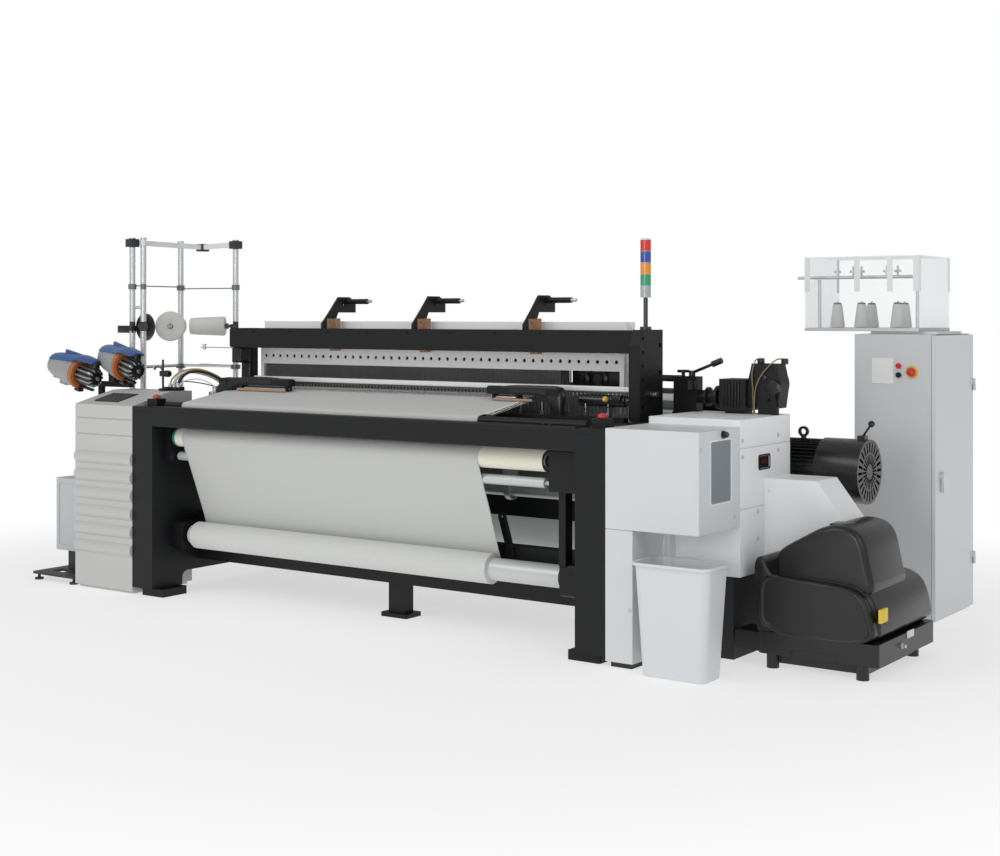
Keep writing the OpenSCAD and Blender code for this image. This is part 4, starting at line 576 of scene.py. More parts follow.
# %% Cloth weave
def weave_finish(name, colour):
    """Plain weave: a fine wave along each of the sheet's own two directions, read from its UV map."""
    made, tree, shader = blank_material(name)
    flat = node(tree, "UVMap").outputs[0]
    ends = node(tree, "TexWave", {"Vector": flat, "Scale": 300.0, "Distortion": 0.4}, bands_direction="X")
    picks = node(tree, "TexWave", {"Vector": flat, "Scale": 300.0, "Distortion": 0.4}, bands_direction="Y")
    weave = maths(tree, "MULTIPLY", ends.outputs["Fac"], picks.outputs["Fac"])
    long_way = node(tree, "Mapping", {"Vector": flat, "Scale": (3.0, 60.0, 1.0)}).outputs[0]
    slub = node(tree, "TexNoise", {"Vector": long_way, "Scale": 4.0, "Detail": 4.0}).outputs["Fac"]
    tint = blended(tree, slub, tuple(c * 0.97 for c in colour), colour)
    bump = node(tree, "Bump", {"Height": weave, "Strength": 0.25, "Distance": 0.0003})
    fill(tree, shader, {"Base Color": tint, "Normal": bump.outputs[0], "Roughness": 0.85,
                        "Specular IOR Level": 0.25, "Sheen Weight": 0.2})
    return made


# The sheet's tone is darker than the same cloth on the roll: painted shade, as the cloth lies in the shadow
# of the beam.
weave_with_painted_shade = weave_finish("weave_with_painted_shade", (0.57, 0.58, 0.565))
print("weave", len(weave_with_painted_shade.node_tree.nodes), "nodes")

# %% [markdown]
# The sheet is a grid: one row for each step along the path, and many columns across it. A low ripple
# lives only where the cloth hangs free between the take-up roller and the roll.

# %% The cloth itself
def unit(v):
    """A vector, or each row of vectors, over its length."""
    v = np.asarray(v, float)
    return v / np.linalg.norm(v, axis=-1, keepdims=True)


CLOTH_COLUMNS = 190


def cloth_sheet():
    """z and depth follow the path; along the free fall a low wave stands off the sheet's normal."""
    across = np.linspace(CLOTH_X[0], CLOTH_X[1], CLOTH_COLUMNS)
    along = unit(np.gradient(path, axis=0))
    normal = np.stack([along[:, 1], -along[:, 0]], -1)
    low = 395.0
    height = path[:, 1]
    free = np.clip((height - low) / 60, 0, 1) * np.clip((755 - height) / 90, 0, 1) * (path[:, 0] < 300)
    u = (across - CLOTH_X[0]) / (CLOTH_X[1] - CLOTH_X[0])
    v = stations / stations[-1]
    ripple = (np.sin(9.3 * u[None] + 2.2 * v[:, None]) * 1.2 + np.sin(23.0 * u[None] - 5.0 * v[:, None]) * 0.5
              + 2.0 * np.exp(-((1 - u[None]) / 0.03) ** 2) * np.sin(30 * v[:, None]))
    out = -np.abs(ripple) * free[:, None]
    points = np.empty((len(path), len(across), 3))
    points[..., 0] = across[None]
    points[..., 1] = path[:, 0, None] + normal[:, 0, None] * out
    points[..., 2] = path[:, 1, None] + normal[:, 1, None] * out
    made = piece("woven_cloth", (points.reshape(-1, 3), grid_faces(len(path), len(across), ring=False)),
                 weave_with_painted_shade, crease=60, closed=False)
    mesh = made.data
    layer = mesh.uv_layers.new(name="flat")
    loop_points = np.empty(len(mesh.loops), int)
    mesh.loops.foreach_get("vertex_index", loop_points)
    flat = np.stack(np.broadcast_arrays(across[None] / 1000, stations[:, None] / 1000), -1).reshape(-1, 2)
    layer.data.foreach_set("uv", flat[loop_points].astype(np.float32).ravel())
    thick = made.modifiers.new("thickness", "SOLIDIFY")
    thick.thickness = CLOTH_THICK / 1000
    thick.offset = 0.0
    return made


cloth = cloth_sheet()
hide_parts("cloth")
print("cloth grid", len(path), "by", CLOTH_COLUMNS)

# %% [markdown]
# Round fittings come from a lathe: a profile turned about an axis. Here that is a wall through rings
# of points, which makes other long shapes too. A shape that comes again is copied by moving its
# points, which is lighter than an object for each copy.

# %% Walls through rings, turned parts and copies
UP, RIGHT, TO_FRONT, TO_BACK = (0, 0, 1), (1, 0, 0), (0, -1, 0), (0, 1, 0)


def loft(rings, capped=True):
    """A wall through rings of equal count. A cap is one more ring shrunk to the ring's middle."""
    rings = np.asarray(rings, float)
    if capped:
        first = np.broadcast_to(rings[0].mean(0), rings[0].shape)
        last = np.broadcast_to(rings[-1].mean(0), rings[-1].shape)
        rings = np.concatenate([first[None], rings, last[None]])
    return rings.reshape(-1, 3), grid_faces(rings.shape[0], rings.shape[1])


def turned(profile, start, axis, sides=32):
    """Points at start + a * axis + r * (cos t * u + sin t * w) for each (a, r) of the profile and angle t."""
    profile = np.asarray(profile, float)
    axis = unit(axis)
    u = unit(np.cross(axis, [0.0, 0.31, 1.0] if abs(axis[2]) < 0.9 else [1.0, 0.0, 0.0]))
    w = np.cross(axis, u)
    t = np.linspace(0, 2 * math.pi, sides, endpoint=False)
    circle = np.cos(t)[:, None] * u + np.sin(t)[:, None] * w
    rings = np.asarray(start, float) + profile[:, 0, None, None] * axis + profile[:, 1, None, None] * circle
    return loft(rings)


def repeated(shell, offsets):
    """Copies of a shell, one at each offset: every point plus every offset."""
    points, faces = shell
    offsets = np.asarray(offsets, float).reshape(-1, 3)
    moved = (points[None] + offsets[:, None]).reshape(-1, 3)
    steps = np.arange(len(offsets))[:, None, None] * len(points)
    return moved, (faces[None] + steps).reshape(-1, 4)


print("a disc of 8 sides has", len(turned([(0, 0), (0, 1), (1, 1)], (0, 0, 0), UP, 8)[0]), "points")

# %% [markdown]
# The shed is what makes a loom look like a loom: hundreds of thin steel healds in each frame, the
# fine dents of the reed and the warp itself, drawn apart by the frames. One wire is a slim block of
# eight points, and the rest are the same block moved along the width.

# %% Healds
def slim(low, high):
    """The eight corners of a thin straight strip, as two rings of four, capped."""
    (x0, d0, z0), (x1, d1, z1) = low, high
    ring = [(x0, d0), (x1, d0), (x1, d1), (x0, d1)]
    return loft([[(x, d, z0) for x, d in ring], [(x, d, z1) for x, d in ring]])


def along_width(first, last, count):
    """Evenly spaced offsets across the loom."""
    places = np.zeros((count, 3))
    places[:, 0] = np.linspace(first, last, count)
    return places


heald_steel = finish("heald_steel", (0.3, 0.3, 0.3), 0.45, 0.4, mottle=0.3, edge=0.0)
WIRES = 500
EYE_RISE = 180
PAIRS = (("odd", comb_places[0::2], ODD_SILL), ("even", comb_places[1::2], EVEN_SILL))
eye_profile = [(-1.0, 0), (-1.0, 1.0), (0, 2.6), (1.0, 1.0), (1.0, 0)]
places = along_width(-1156, 762, WIRES)
places[:, 1] = np.where(np.arange(WIRES) % 2, 0.0, 1.6)
for pair, depths, sill in PAIRS:
    shells = []
    for d in depths:
        shells.append(repeated(slim((-0.3, d - 5.5, sill), (0.3, d - 0.8, sill + HEALD_OPENING)), places))
        eye = turned(eye_profile, (0, d - 5.8, sill + EYE_RISE), TO_BACK, 8)
        shells.append(repeated(eye, places))
    piece("heald_wires_" + pair, shells, heald_steel, body="healds_" + pair)
print("healds", 4 * WIRES)

# %% [markdown]
# The reed is a comb of flat dents. The warp is four sets of threads, and each thread runs straight
# from the fell to its heald's eye and on to the back, so three sections are enough for it.

# %% Reed dents and warp threads
dent_steel = finish("dent_steel", (0.16, 0.165, 0.17), 0.35, 0.8, edge=0.0)
dents = along_width(-1082, 1238, 780)
reed_wires = repeated(slim((-0.6, 551.2, 1004), (0.6, 552.0, 1084)), dents)

thread_white = finish("warp_thread", (0.78, 0.78, 0.75), 0.9, edge=0.0, specular=0.2)
THREADS = 210
THREAD_STEP = 2.2
wide, thick = 0.45, 0.35
thread_sets = []
for k, d_heald in enumerate(comb_places):
    eye = (EVEN_SILL if k % 2 else ODD_SILL) + EYE_RISE
    rings = [[(-wide, d, z - thick), (wide, d, z - thick), (wide, d, z + thick), (-wide, d, z + thick)]
             for d, z in ((471, 1066), (d_heald, eye), (831, 1066.5))]
    thread_sets.append(repeated(loft(rings), along_width(-1154, 714, THREADS) + [THREAD_STEP * k, 0, 0]))
piece("reed_dents", reed_wires, dent_steel, body="sley_body")
piece("warp_threads", thread_sets, thread_white)
print("dents", len(dents), "threads", 4 * THREADS)

# %% [markdown]
# The staves have a row of holes. A hole this small shows only as a dark round of shade, so each
# gets a flat black button just under the surface as painted shade, which is lighter than cutting
# hundreds of holes.

# %% Painted shade in the holes of the staves
HOLES = 44
HOLE_RISE = 404.5
# The black buttons below are painted shade in the holes, not a part of the stave.
hole_shade_profile = [(-1, 0), (-1, 8), (0, 9.6), (3, 9.6), (3, 0)]
places = along_width(-1154, 1073, HOLES)
for pair, depths, sill in PAIRS:
    shells = [repeated(turned(hole_shade_profile, (0, d, sill + HOLE_RISE), TO_BACK, 16), places) for d in depths]
    piece("stave_hole_shade_" + pair, shells, black_paint, body="healds_" + pair)
print("holes in each stave", HOLES)

# %% [markdown]
# Other fittings are bent from round bar or milled from a block with its edges rounded off. Each kind
# is one formula: a circle carried along a path, and a round-cornered outline drawn in at both ends.

# %% Bent bars and rounded blocks
def smooth_path(points, steps=8):
    """A curve through points, or rows of numbers: each stretch is a cubic that looks at four of them."""
    p = np.asarray(points, float)
    a, b = np.vstack([p[:1], p[:-2]]), p[:-1]
    c, d = p[1:], np.vstack([p[2:], p[-1:]])
    t = (np.arange(steps) / steps)[None, :, None]
    a, b, c, d = (x[:, None] for x in (a, b, c, d))
    curve = 0.5 * (2 * b + (c - a) * t + (2 * a - 5 * b + 4 * c - d) * t**2 + (3 * b - a - 3 * c + d) * t**3)
    return np.vstack([curve.reshape(-1, p.shape[1]), p[-1:]])


def bar(path, radius, sides=10, side_hint=(0.35, 0.2, 0.9)):
    """A round bar along a path: each ring stands square to the path, turned by one fixed hint."""
    path = np.asarray(path, float)
    along = unit(np.gradient(path, axis=0))
    u = unit(np.cross(along, side_hint))
    w = np.cross(u, along)
    t = np.linspace(0, 2 * math.pi, sides, endpoint=False)
    circle = np.cos(t)[None, :, None] * u[:, None] + np.sin(t)[None, :, None] * w[:, None]
    reach = np.broadcast_to(np.asarray(radius, float), (len(path),))
    return loft(path[:, None] + reach[:, None, None] * circle)


def round_ring(width, depth, corner, per_corner=5):
    """A rectangle with round corners, as points about its middle: corner centres plus quarter circles."""
    corner = min(corner, width / 2 - 1e-3, depth / 2 - 1e-3)
    t = np.linspace(0, math.pi / 2, per_corner)
    quarter = np.arange(4)[:, None] * math.pi / 2 + t
    sx, sy = np.array([1, -1, -1, 1])[:, None], np.array([1, 1, -1, -1])[:, None]
    x = sx * (width / 2 - corner) + corner * np.cos(quarter)
    y = sy * (depth / 2 - corner) + corner * np.sin(quarter)
    return np.stack([x, y], -1).reshape(-1, 2)


def section(outline, station, middle, axis=0):
    """A flat outline as a ring square to an axis: at its station there, about its middle on the others."""
    a, b = [(1, 2), (2, 0), (0, 1)][axis]
    ring = np.empty((len(outline), 3))
    ring[:, a], ring[:, b], ring[:, axis] = outline[:, 0] + middle[a], outline[:, 1] + middle[b], station
    return ring


def block(low, high, corner=3.0, edge=1.5, axis=2):
    """A rounded block: round_ring sections along one axis, drawn in by a quarter circle at both ends."""
    low, high = np.asarray(low, float), np.asarray(high, float)
    middle = (low + high) / 2
    wide, deep, tall = np.roll(high - low, -1 - axis)
    edge = min(edge, tall / 2 - 1e-3)
    t = np.linspace(0, math.pi / 2, 4)
    inset, rise = edge * (1 - np.sin(t)), edge * (1 - np.cos(t))
    along = np.concatenate([low[axis] + rise, (high[axis] - rise)[::-1]])
    return loft([section(round_ring(wide - 2 * shrink, deep - 2 * shrink, corner, 4), station, middle, axis)
                 for shrink, station in zip(np.concatenate([inset, inset[::-1]]), along)])


print("a rounded block has", len(block((0, 0, 0), (10, 10, 10))[0]), "points")

# %% [markdown]
# At the right edge a small unit binds the outermost threads, and a tube catches the waste yarn
# before it reaches the frame. Both are blocks, discs and a bent rod, joined into one piece each.

# %% Selvedge unit and yarn catcher
def black_fitting(name, shells):
    """A small fitting in glossy black on the still frame."""
    return piece(name, shells, black_gloss)


disc = [(0, 0), (0, 44), (6, 46), (12, 46), (16, 30), (28, 26), (28, 0)]
yarn_wire = [(846, 836, 1188), (872, 816, 1216), (930, 818, 1226), (974, 838, 1196)]
binder = [block((1296, 836, 979), (1322, 876, 1176), 4, 2),
          block((1000, 842, 1146), (1321, 870, 1176), 4, 2, axis=0),
          block((742, 836, 1092), (1012, 874, 1206), 10, 4, axis=0),
          block((880, 830, 1180), (960, 870, 1244), 8, 3),
          turned(disc, (798, 837, 1148), TO_FRONT, 32), turned(disc, (902, 837, 1148), TO_FRONT, 32),
          bar(smooth_path(yarn_wire, 6), 4.0)]
black_fitting("selvedge_unit", binder)
catcher_tube = [(0, 0), (0, 22), (6, 28), (244, 28), (250, 22), (292, 22), (292, 0)]
catcher = [turned(catcher_tube, (967, 560, 1064), RIGHT, 28),
           block((1080, 533, 1034), (1150, 588, 1040), 4, 2),
           block((1150, 520, 1060), (1200, 560, 1092), 6, 3)]
black_fitting("yarn_catcher", catcher)
knob = turned([(0, 0), (0, 9), (8, 13), (20, 13), (26, 9), (26, 0)], (1121, 536, 1070), (0, -1, 0.2))
piece("yarn_catcher_knob", knob, yellow_plastic)
print("selvedge unit", len(binder), "shells, yarn catcher", len(catcher))

# %% [markdown]
# Each weft feeder has a cast grey body, a blue hood over its back, an orange winding ring from the
# frame, and a drum of silver fingers round a black core. It is made lying along its own axis, with
# the ring at zero, and then turned and lifted to its place on the stand.

# %% Weft feeders
FEEDER_PITCH = math.radians(12)
FEEDERS = {"1": ((-2206, 300, 1128), 0.0), "2": ((-1885, 345, 1175), math.radians(-12))}


def at_feeder(shell, place, heading_turn):
    """Pitch about the feeder's own side axis, then turn about the vertical, then move."""
    points, faces = shell
    cp, sp = math.cos(FEEDER_PITCH), math.sin(FEEDER_PITCH)
    ct, st = math.cos(heading_turn), math.sin(heading_turn)
    pitch = np.array([[cp, 0, sp], [0, 1, 0], [-sp, 0, cp]])
    swing = np.array([[ct, -st, 0], [st, ct, 0], [0, 0, 1]])
    return points @ (swing @ pitch).T + np.asarray(place, float), faces


def squared_ring(x, half_width, low, high, power, count=40):
    """A superellipse section: cos and sin raised to 2 / power, stretched to its half width and heights."""
    t = np.linspace(0, 2 * math.pi, count, endpoint=False)
    c, s = np.cos(t), np.sin(t)
    y = half_width * np.sign(c) * np.abs(c) ** (2 / power)
    z = (high + low) / 2 + (high - low) / 2 * np.sign(s) * np.abs(s) ** (2 / power)
    return np.stack([np.full(count, float(x)), y, z], -1)


def feeder_body():
    """Sections from the rounded tail to the wide mouth behind the ring."""
    table = [(-258, 18, -24, 16, 2.0), (-256, 32, -38, 30, 2.1), (-246, 42, -48, 42, 2.2),
             (-226, 52, -56, 54, 2.3), (-188, 61, -66, 66, 2.4), (-130, 68, -74, 76, 2.4),
             (-84, 74, -80, 80, 2.3), (-48, 79, -84, 84, 2.2), (-32, 83, -86, 86, 2.0),
             (-16, 84, -87, 87, 2.0), (-14, 78, -80, 80, 2.0)]
    return loft([squared_ring(*row) for row in smooth_path(table, 4)])


def arc_band(x, outer_r, inner_r, angles, lift=0.0):
    """A closed section at x: an outer arc, then the inner arc back, both r * (sin a, cos a), lifted."""
    arcs = [np.stack([np.full(len(angles), x), r * np.sin(angles), lift + r * np.cos(angles)], -1)
            for r in (outer_r, inner_r)]
    return np.concatenate([arcs[0], arcs[1][::-1]])


def feeder_hood():
    """Bands from the tail to the peak over the drum: place, radius, lift, thickness, spread in degrees."""
    table = [(-240, 42, 10, 5, 66), (-232, 52, 12, 5, 68), (-202, 60, 14, 5, 68), (-130, 72, 16, 6, 62),
             (-66, 81, 15, 6, 56), (-20, 91, 12, 6, 50), (24, 98, 10, 7, 44), (78, 98, 7, 8, 36),
             (114, 92, 6, 9, 28), (122, 86, 6, 6, 22)]
    return loft([arc_band(x, radius, radius - thick, np.radians(np.linspace(-spread, spread, 22)), lift)
                 for x, radius, lift, thick, spread in smooth_path(table, 4)])


def drum_finger(angle, wide=11.0):
    """A finger of the drum: narrow bands along it, lower at both ends for a soft nose."""
    angles = np.radians(90 - angle + np.linspace(wide / 2, -wide / 2, 6))
    table = ((14, 52, 46), (18, 57, 46), (70, 55, 46), (118, 57, 46), (130, 52, 44), (138, 42, 36))
    return loft([arc_band(x, outer, inner, angles) for x, outer, inner in table])


print("feeder body of", len(feeder_body()[0]), "points")

# %% [markdown]
# The shells are made once and set down twice, in four groups by material. A foot under each feeder
# stands on the tray of the stand.

# %% The two feeders in their places
smoky_steel = finish("smoky_steel", (0.3, 0.31, 0.32), 0.25, 0.7, mottle=0.15, coat=0.3)
CENTRE = (0, 0, 0)
mouth = turned([(-16, 70), (-16, 84), (-13.4, 85.5), (-13.4, 70)], CENTRE, RIGHT, 40)
cord_hole = turned([(-242, 5), (-242, 11), (-228, 13), (-228, 5)], CENTRE, RIGHT, 20)
lug = block((-150, -22, -92), (-90, 22, -50), 8, 3)
crest = block((-150, -8, 82), (40, 8, 106), 7, 5, axis=0)
core_profile = [(12, 0), (12, 49), (122, 49), (130, 44), (133, 34), (132, 15), (142, 12), (142, 0)]
dark_parts = [turned(core_profile, CENTRE, RIGHT, 28),
              block((92, -17, 62), (132, 17, 96), 7, 5, axis=0),
              block((118, -14, 40), (134, 14, 66), 4, 2, axis=0),
              block((-60, 56, 40), (-10, 76, 62), 5, 3, axis=0),
              block((10, -12, -78), (118, 12, -64), 4, 3, axis=0),
              block((-20, -18, -104), (22, 18, -84), 5, 3, axis=0),
              block((-210, -20, -72), (-176, 20, -44), 6, 3, axis=0)]
drum_cap = turned([(132, 0), (132, 13), (146, 11), (148, 6), (148, 0)], CENTRE, RIGHT, 20)
fingers = [drum_finger(a) for a in range(0, 360, 30)]
feeder_sets = (("body", [feeder_body(), mouth, cord_hole, lug], shell_grey, "bright_steel"),
               ("hood", [feeder_hood(), crest], blue_plastic, "blue_plastic"),
               ("dark_parts", dark_parts, black_gloss, "black_plastic"),
               ("drum", fingers + [drum_cap], smoky_steel, "aluminium"))
for tag, (place, turn) in FEEDERS.items():
    for part, shells, look, slot in feeder_sets:
        piece(f"feeder_{tag}_{part}", [at_feeder(shell, place, turn) for shell in shells], look)
    x, d, z = place
    foot = block((x - 134, d - 10, 1081), (x - 88, 434, z - 40), 6, 3)
    piece(f"feeder_{tag}_foot", foot, black_paint)
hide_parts("feeder_housings")
print("feeders", len(FEEDERS), "with", len(fingers), "fingers each")

# %% [markdown]
# From the top of the left cabinet soft hoses carry air into the loom. A hose bows between its
# fittings, so it is a round bar along a smooth path through a few points read from the picture.

# %% Hoses and valves at the left
black_rubber = finish("black_rubber", (0.02, 0.02, 0.021), 0.5, mottle=0.1)
clear_hose = finish("milky_hose", (0.75, 0.76, 0.76), 0.25, mottle=0.03, coat=0.4, edge=0.0)
yellow_hose = finish("yellow_hose", (0.55, 0.42, 0.08), 0.35, mottle=0.08, edge=0.0)
HOSE_ROUTES = {
    "white_hose": (clear_hose, 8.5, [
        (-1520, 365, 1072), (-1524, 382, 1105), (-1520, 420, 1134), (-1490, 480, 1143), (-1440, 560, 1118),
        (-1404, 622, 1070), (-1382, 640, 1020)]),
    "black_hose": (black_rubber, 8.0, [
        (-1490, 365, 1072), (-1486, 384, 1112), (-1470, 440, 1146), (-1428, 520, 1138), (-1374, 596, 1086),
        (-1352, 636, 1020)]),
    "yellow_hose": (yellow_hose, 5.0, [
        (-1550, 365, 1072), (-1570, 400, 1108), (-1560, 460, 1146), (-1510, 540, 1156), (-1450, 620, 1118),
        (-1416, 648, 1070), (-1404, 652, 1020)]),
    "thin_hose": (clear_hose, 3.0, [
        (-1476, 352, 1060), (-1455, 380, 1098), (-1400, 430, 1108), (-1345, 470, 1082), (-1310, 500, 1030),
        (-1302, 520, 985)]),
    "thin_black_hose": (black_rubber, 3.0, [
        (-1538, 352, 1060), (-1520, 400, 1090), (-1470, 470, 1088), (-1420, 560, 1064), (-1398, 618, 1020)])}
for name, (look, radius, route) in HOSE_ROUTES.items():
    piece(name, bar(smooth_path(route, 10), radius, 12), look)


def hose_fitting(x, d, z, radius):
    """A stepped nut round a hose end."""
    return turned([(0, 0), (0, radius + 5), (12, radius + 5), (15, radius + 2), (24, radius + 2), (24, 0)],
                  (x, d, z - 16), UP, 18)


fittings = [hose_fitting(*place) for place in (
    (-1520, 365, 1080, 8), (-1490, 365, 1080, 8), (-1550, 365, 1080, 5),
    (-1382, 640, 1038, 8), (-1352, 636, 1038, 8), (-1404, 652, 1038, 5))]
piece("hose_fittings", fittings, cast_aluminium)
manifold = [block((-1570, 330, 1045), (-1472, 400, 1066), 5, 3),
            block((-1420, 602, 980), (-1312, 678, 1022), 6, 3),
            block((-1405, 596, 1022), (-1330, 612, 1046), 4, 2)]
black_fitting("air_manifold", manifold)
VALVES = (-1366, -1328)
valves = [block((x, 470, 979), (x + 34, 540, 1040), 4, 2) for x in VALVES]
valve_cap = [(0, 0), (0, 15), (26, 15), (30, 11), (30, 0)]
valves += [turned(valve_cap, (x + 17, 505, 1040), UP, 24) for x in VALVES]
piece("air_valves", valves, cast_aluminium)
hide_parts("air_hoses")
print("hoses", len(HOSE_ROUTES), "fittings", len(fittings), "valves", len(VALVES))

# %% [markdown]
# A rod on the left cabinet holds a white eye that guides the weft, and a thin feeler arm reaches in
# from the frame. Turned shapes and one bent bar are enough.

# %% Rod with a yarn eye, and the feeler arms
bent_arm = [(-1536, 300, 1150), (-1546, 292, 1170), (-1570, 290, 1176), (-1590, 292, 1168)]
yarn_rod = [turned([(0, 0), (0, 6), (166, 6), (168, 5), (168, 0)], (-1536, 300, 1047), UP, 16),
            block((-1556, 284, 1046), (-1516, 316, 1060), 5, 2),
            block((-1552, 286, 1124), (-1520, 314, 1154), 5, 3),
            turned([(0, 0), (0, 16), (10, 18), (34, 18), (40, 14), (40, 0)], (-1522, 300, 1139), RIGHT, 24),
            bar(smooth_path(bent_arm, 6), 3.5)]
black_fitting("yarn_eye_rod", yarn_rod)
eye_ring = turned([(0, 7), (0, 10), (6, 10), (6, 7), (0, 7)], (-1596, 292, 1166), (1, 0, 0.3), 20)
piece("yarn_eye", eye_ring, white_plastic)
feeler = [bar([(-1290, 612, 1272), (-1350, 617, 1276), (-1580, 622, 1276)], 3.0),
          turned([(0, 0), (0, 8), (28, 8), (28, 0)], (-1552, 621, 1262), UP, 18),
          turned([(0, 0), (0, 14), (4, 14), (4, 0)], (-1552, 621, 1290), UP, 24)]
piece("feeler_rod", feeler, ground_steel)
left_plates = [block((-1289, 571, 1196), (-1219, 653, 1279), 6, 3, axis=0),
               block((-1272, 640, 1020), (-1222, 690, 1200), 8, 4)]
piece("beam_bracket_left", left_plates, black_gloss)
print("yarn rod", len(yarn_rod), "shells, feeler", len(feeler))

# %% [markdown]
# A temple holds the cloth at full width. Its cover swells from the frame and thins out over the
# cloth, so it is lofted through rounded sections whose heights are read from the picture.

# %% Temple covers
def temple_cover(stations, corner=9):
    """Rounded sections set along the width, each between its own lowest and highest point."""
    return loft([section(round_ring(wide, high - low, corner, 5), x, (x, middle_d, (high + low) / 2))
                 for x, middle_d, low, high, wide in smooth_path(stations, 5)])


TEMPLES = {
    "left": [(-1237, 420, 986, 1042, 30), (-1232, 420, 984, 1068, 44), (-1205, 420, 984, 1096, 48),
             (-1170, 420, 990, 1112, 50), (-1140, 421, 1040, 1120, 52), (-1060, 421, 1088, 1127, 54),
             (-950, 421, 1090, 1131, 54), (-830, 421, 1090, 1129, 52), (-760, 421, 1090, 1115, 48),
             (-712, 421, 1089, 1101, 40), (-706, 421, 1091, 1098, 30)],
    "right": [(556, 421, 1091, 1098, 30), (562, 421, 1089, 1102, 40), (610, 421, 1090, 1118, 48),
              (680, 421, 1089, 1129, 52), (800, 421, 1089, 1131, 54), (880, 421, 1076, 1131, 52),
              (915, 421, 1004, 1130, 50), (940, 421, 986, 1124, 48), (956, 421, 984, 1100, 42),
              (962, 421, 988, 1080, 30)]}
for side, stations_of_side in TEMPLES.items():
    piece("temple_cover_" + side, temple_cover(stations_of_side), black_gloss)
strips = [block((-1074, 391, 1059), (-728, 399, 1071), 2, 1, axis=0),
          block((588, 391, 1058), (806, 399, 1069), 2, 1, axis=0)]
piece("temple_strips", strips, brown_bakelite)
print("temples", len(TEMPLES))

# %% [markdown]
# The cam box has a cover of four mouldings. Each is an outline seen from the front, its corners cut
# round, swept through the depth with both rims drawn in along a quarter circle.

# %% Moulded cover of the cam box
def cut_corners(points, rounds=3):
    """Chaikin's rule on a closed outline: each edge keeps its points at one and three quarters."""
    p = np.asarray(points, float)
    for _ in range(rounds):
        after = np.roll(p, -1, axis=0)
        p = np.stack([0.75 * p + 0.25 * after, 0.25 * p + 0.75 * after], 1).reshape(-1, 2)
    return p


def drawn_in(outline, distance):
    """Each point moved by the distance towards the middle of the outline."""
    inward = outline.mean(0) - outline
    return outline + distance * unit(inward)


def moulding(outline, front, back, edge=24.0, panel=None):
    """Rings of one outline through the depth: quarter circles at the rims, and a sunk panel in front."""
    rim_turn = np.linspace(0, math.pi / 2, 6)
    steps = [(edge * (1 - math.sin(a)), edge * (1 - math.cos(a))) for a in rim_turn]
    rings = []
    if panel:
        rim, sunk = panel
        rings += [(edge + rim + 6, sunk), (edge + rim, sunk), (edge + rim - 3, sunk - 1), (edge + 3, 0.5)]
    rings += steps + [(inset, back - front - depth) for inset, depth in reversed(steps)]
    made = []
    for inset, depth in rings:
        o = drawn_in(cut_corners(outline), inset)
        made.append(np.stack([o[:, 0], np.full(len(o), front + depth), o[:, 1]], -1))
    return loft(made)


HUMP = [(1962, 128), (1952, 300), (1966, 376), (2034, 384), (2110, 381), (2317, 371), (2400, 350),
        (2444, 270), (2472, 128)]
HORN = [(1948, 128), (1940, 240), (1934, 400), (1942, 452), (1976, 458), (2006, 392), (2050, 372),
        (2060, 128)]
SHELF = [(1966, 128), (1964, 330), (1990, 374), (2120, 380), (2340, 372), (2420, 344), (2458, 270),
         (2476, 128)]
DOME = [(2010, 300), (2012, 440), (2022, 482), (2120, 540), (2240, 606), (2340, 604), (2396, 560),
        (2420, 450), (2452, 300)]
cover = [moulding(HUMP, 356, 470, 18, panel=(8, 4)), moulding(HORN, 364, 560, 14),
         moulding(SHELF, 400, 1000, 22), moulding(DOME, 400, 780, 28)]
piece("cam_box_cover", cover, grained_black, crease=50)
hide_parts("cam_box_lid")
black_fitting("cam_cover_pads", block((2236, 440, 594), (2316, 530, 606), 8, 3))
bare_patch = block((2466.5, 386, 232), (2477.5, 462, 286), 3, 1, axis=0)
piece("bare_patches", bare_patch, yellow_plastic)
grease_point = [(-2, 0), (-2, 12), (6, 12), (8, 8), (20, 8), (22, 5), (22, 0)]
plate_and_point = [block((2474, 672, 126), (2478.5, 748, 156), 3, 1, axis=0),
                   turned(grease_point, (2475, 612, 108), RIGHT, 20)]
piece("grease_point_and_tag", plate_and_point, cast_aluminium)
print("cover of", len(cover), "mouldings")

# %% [markdown]
# The bin is one thin wall with a rolled rim. One outline is drawn in or out at each height, first up
# the outside and then down the inside, so the wall has its real thickness. A clear tube hangs over it.

# %% Waste bin
BIN = (1614, 1952, -84, 124)


def bin_ring(taper, corner, z):
    """Round-cornered rectangle of the bin, drawn in by its taper."""
    x0, x1, d0, d1 = BIN
    outline = round_ring(x1 - x0 - 2 * taper, d1 - d0 - 2 * taper, corner, 8)
    return section(outline, z, ((x0 + x1) / 2, (d0 + d1) / 2, z), axis=2)


outside = [(30, 30, 0), (26, 34, 2), (24, 36, 8), (12, 39, 230), (0.6, 42, 440), (0.5, 42, 446),
           (-12, 52, 448), (-14, 54, 451), (-14, 54, 457), (-12, 52, 460)]
inside = [(0, 46, 460), (4, 44, 458), (4.4, 42, 450), (16, 37, 230), (28, 34, 10), (31, 30, 6)]
wall = [bin_ring(*row) for row in outside + inside]
piece("waste_bin", loft(wall), white_plastic, crease=50)
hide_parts("bin")
DRAIN_ROUTE = [(1706, 40, 580), (1706, 40, 540), (1702, 38, 500), (1708, 42, 452), (1716, 44, 404)]
piece("drain_tube", bar(smooth_path(DRAIN_ROUTE, 8), 14, 18), clear_sheet)
print("bin wall of", len(wall), "rings")

# %% [markdown]
# Small fittings give a housing its scale: quarter-turn latches, a slatted window, a dark display
# with lit bars, and two buttons on the beam. They stand a few tenths of a millimetre off the paint.

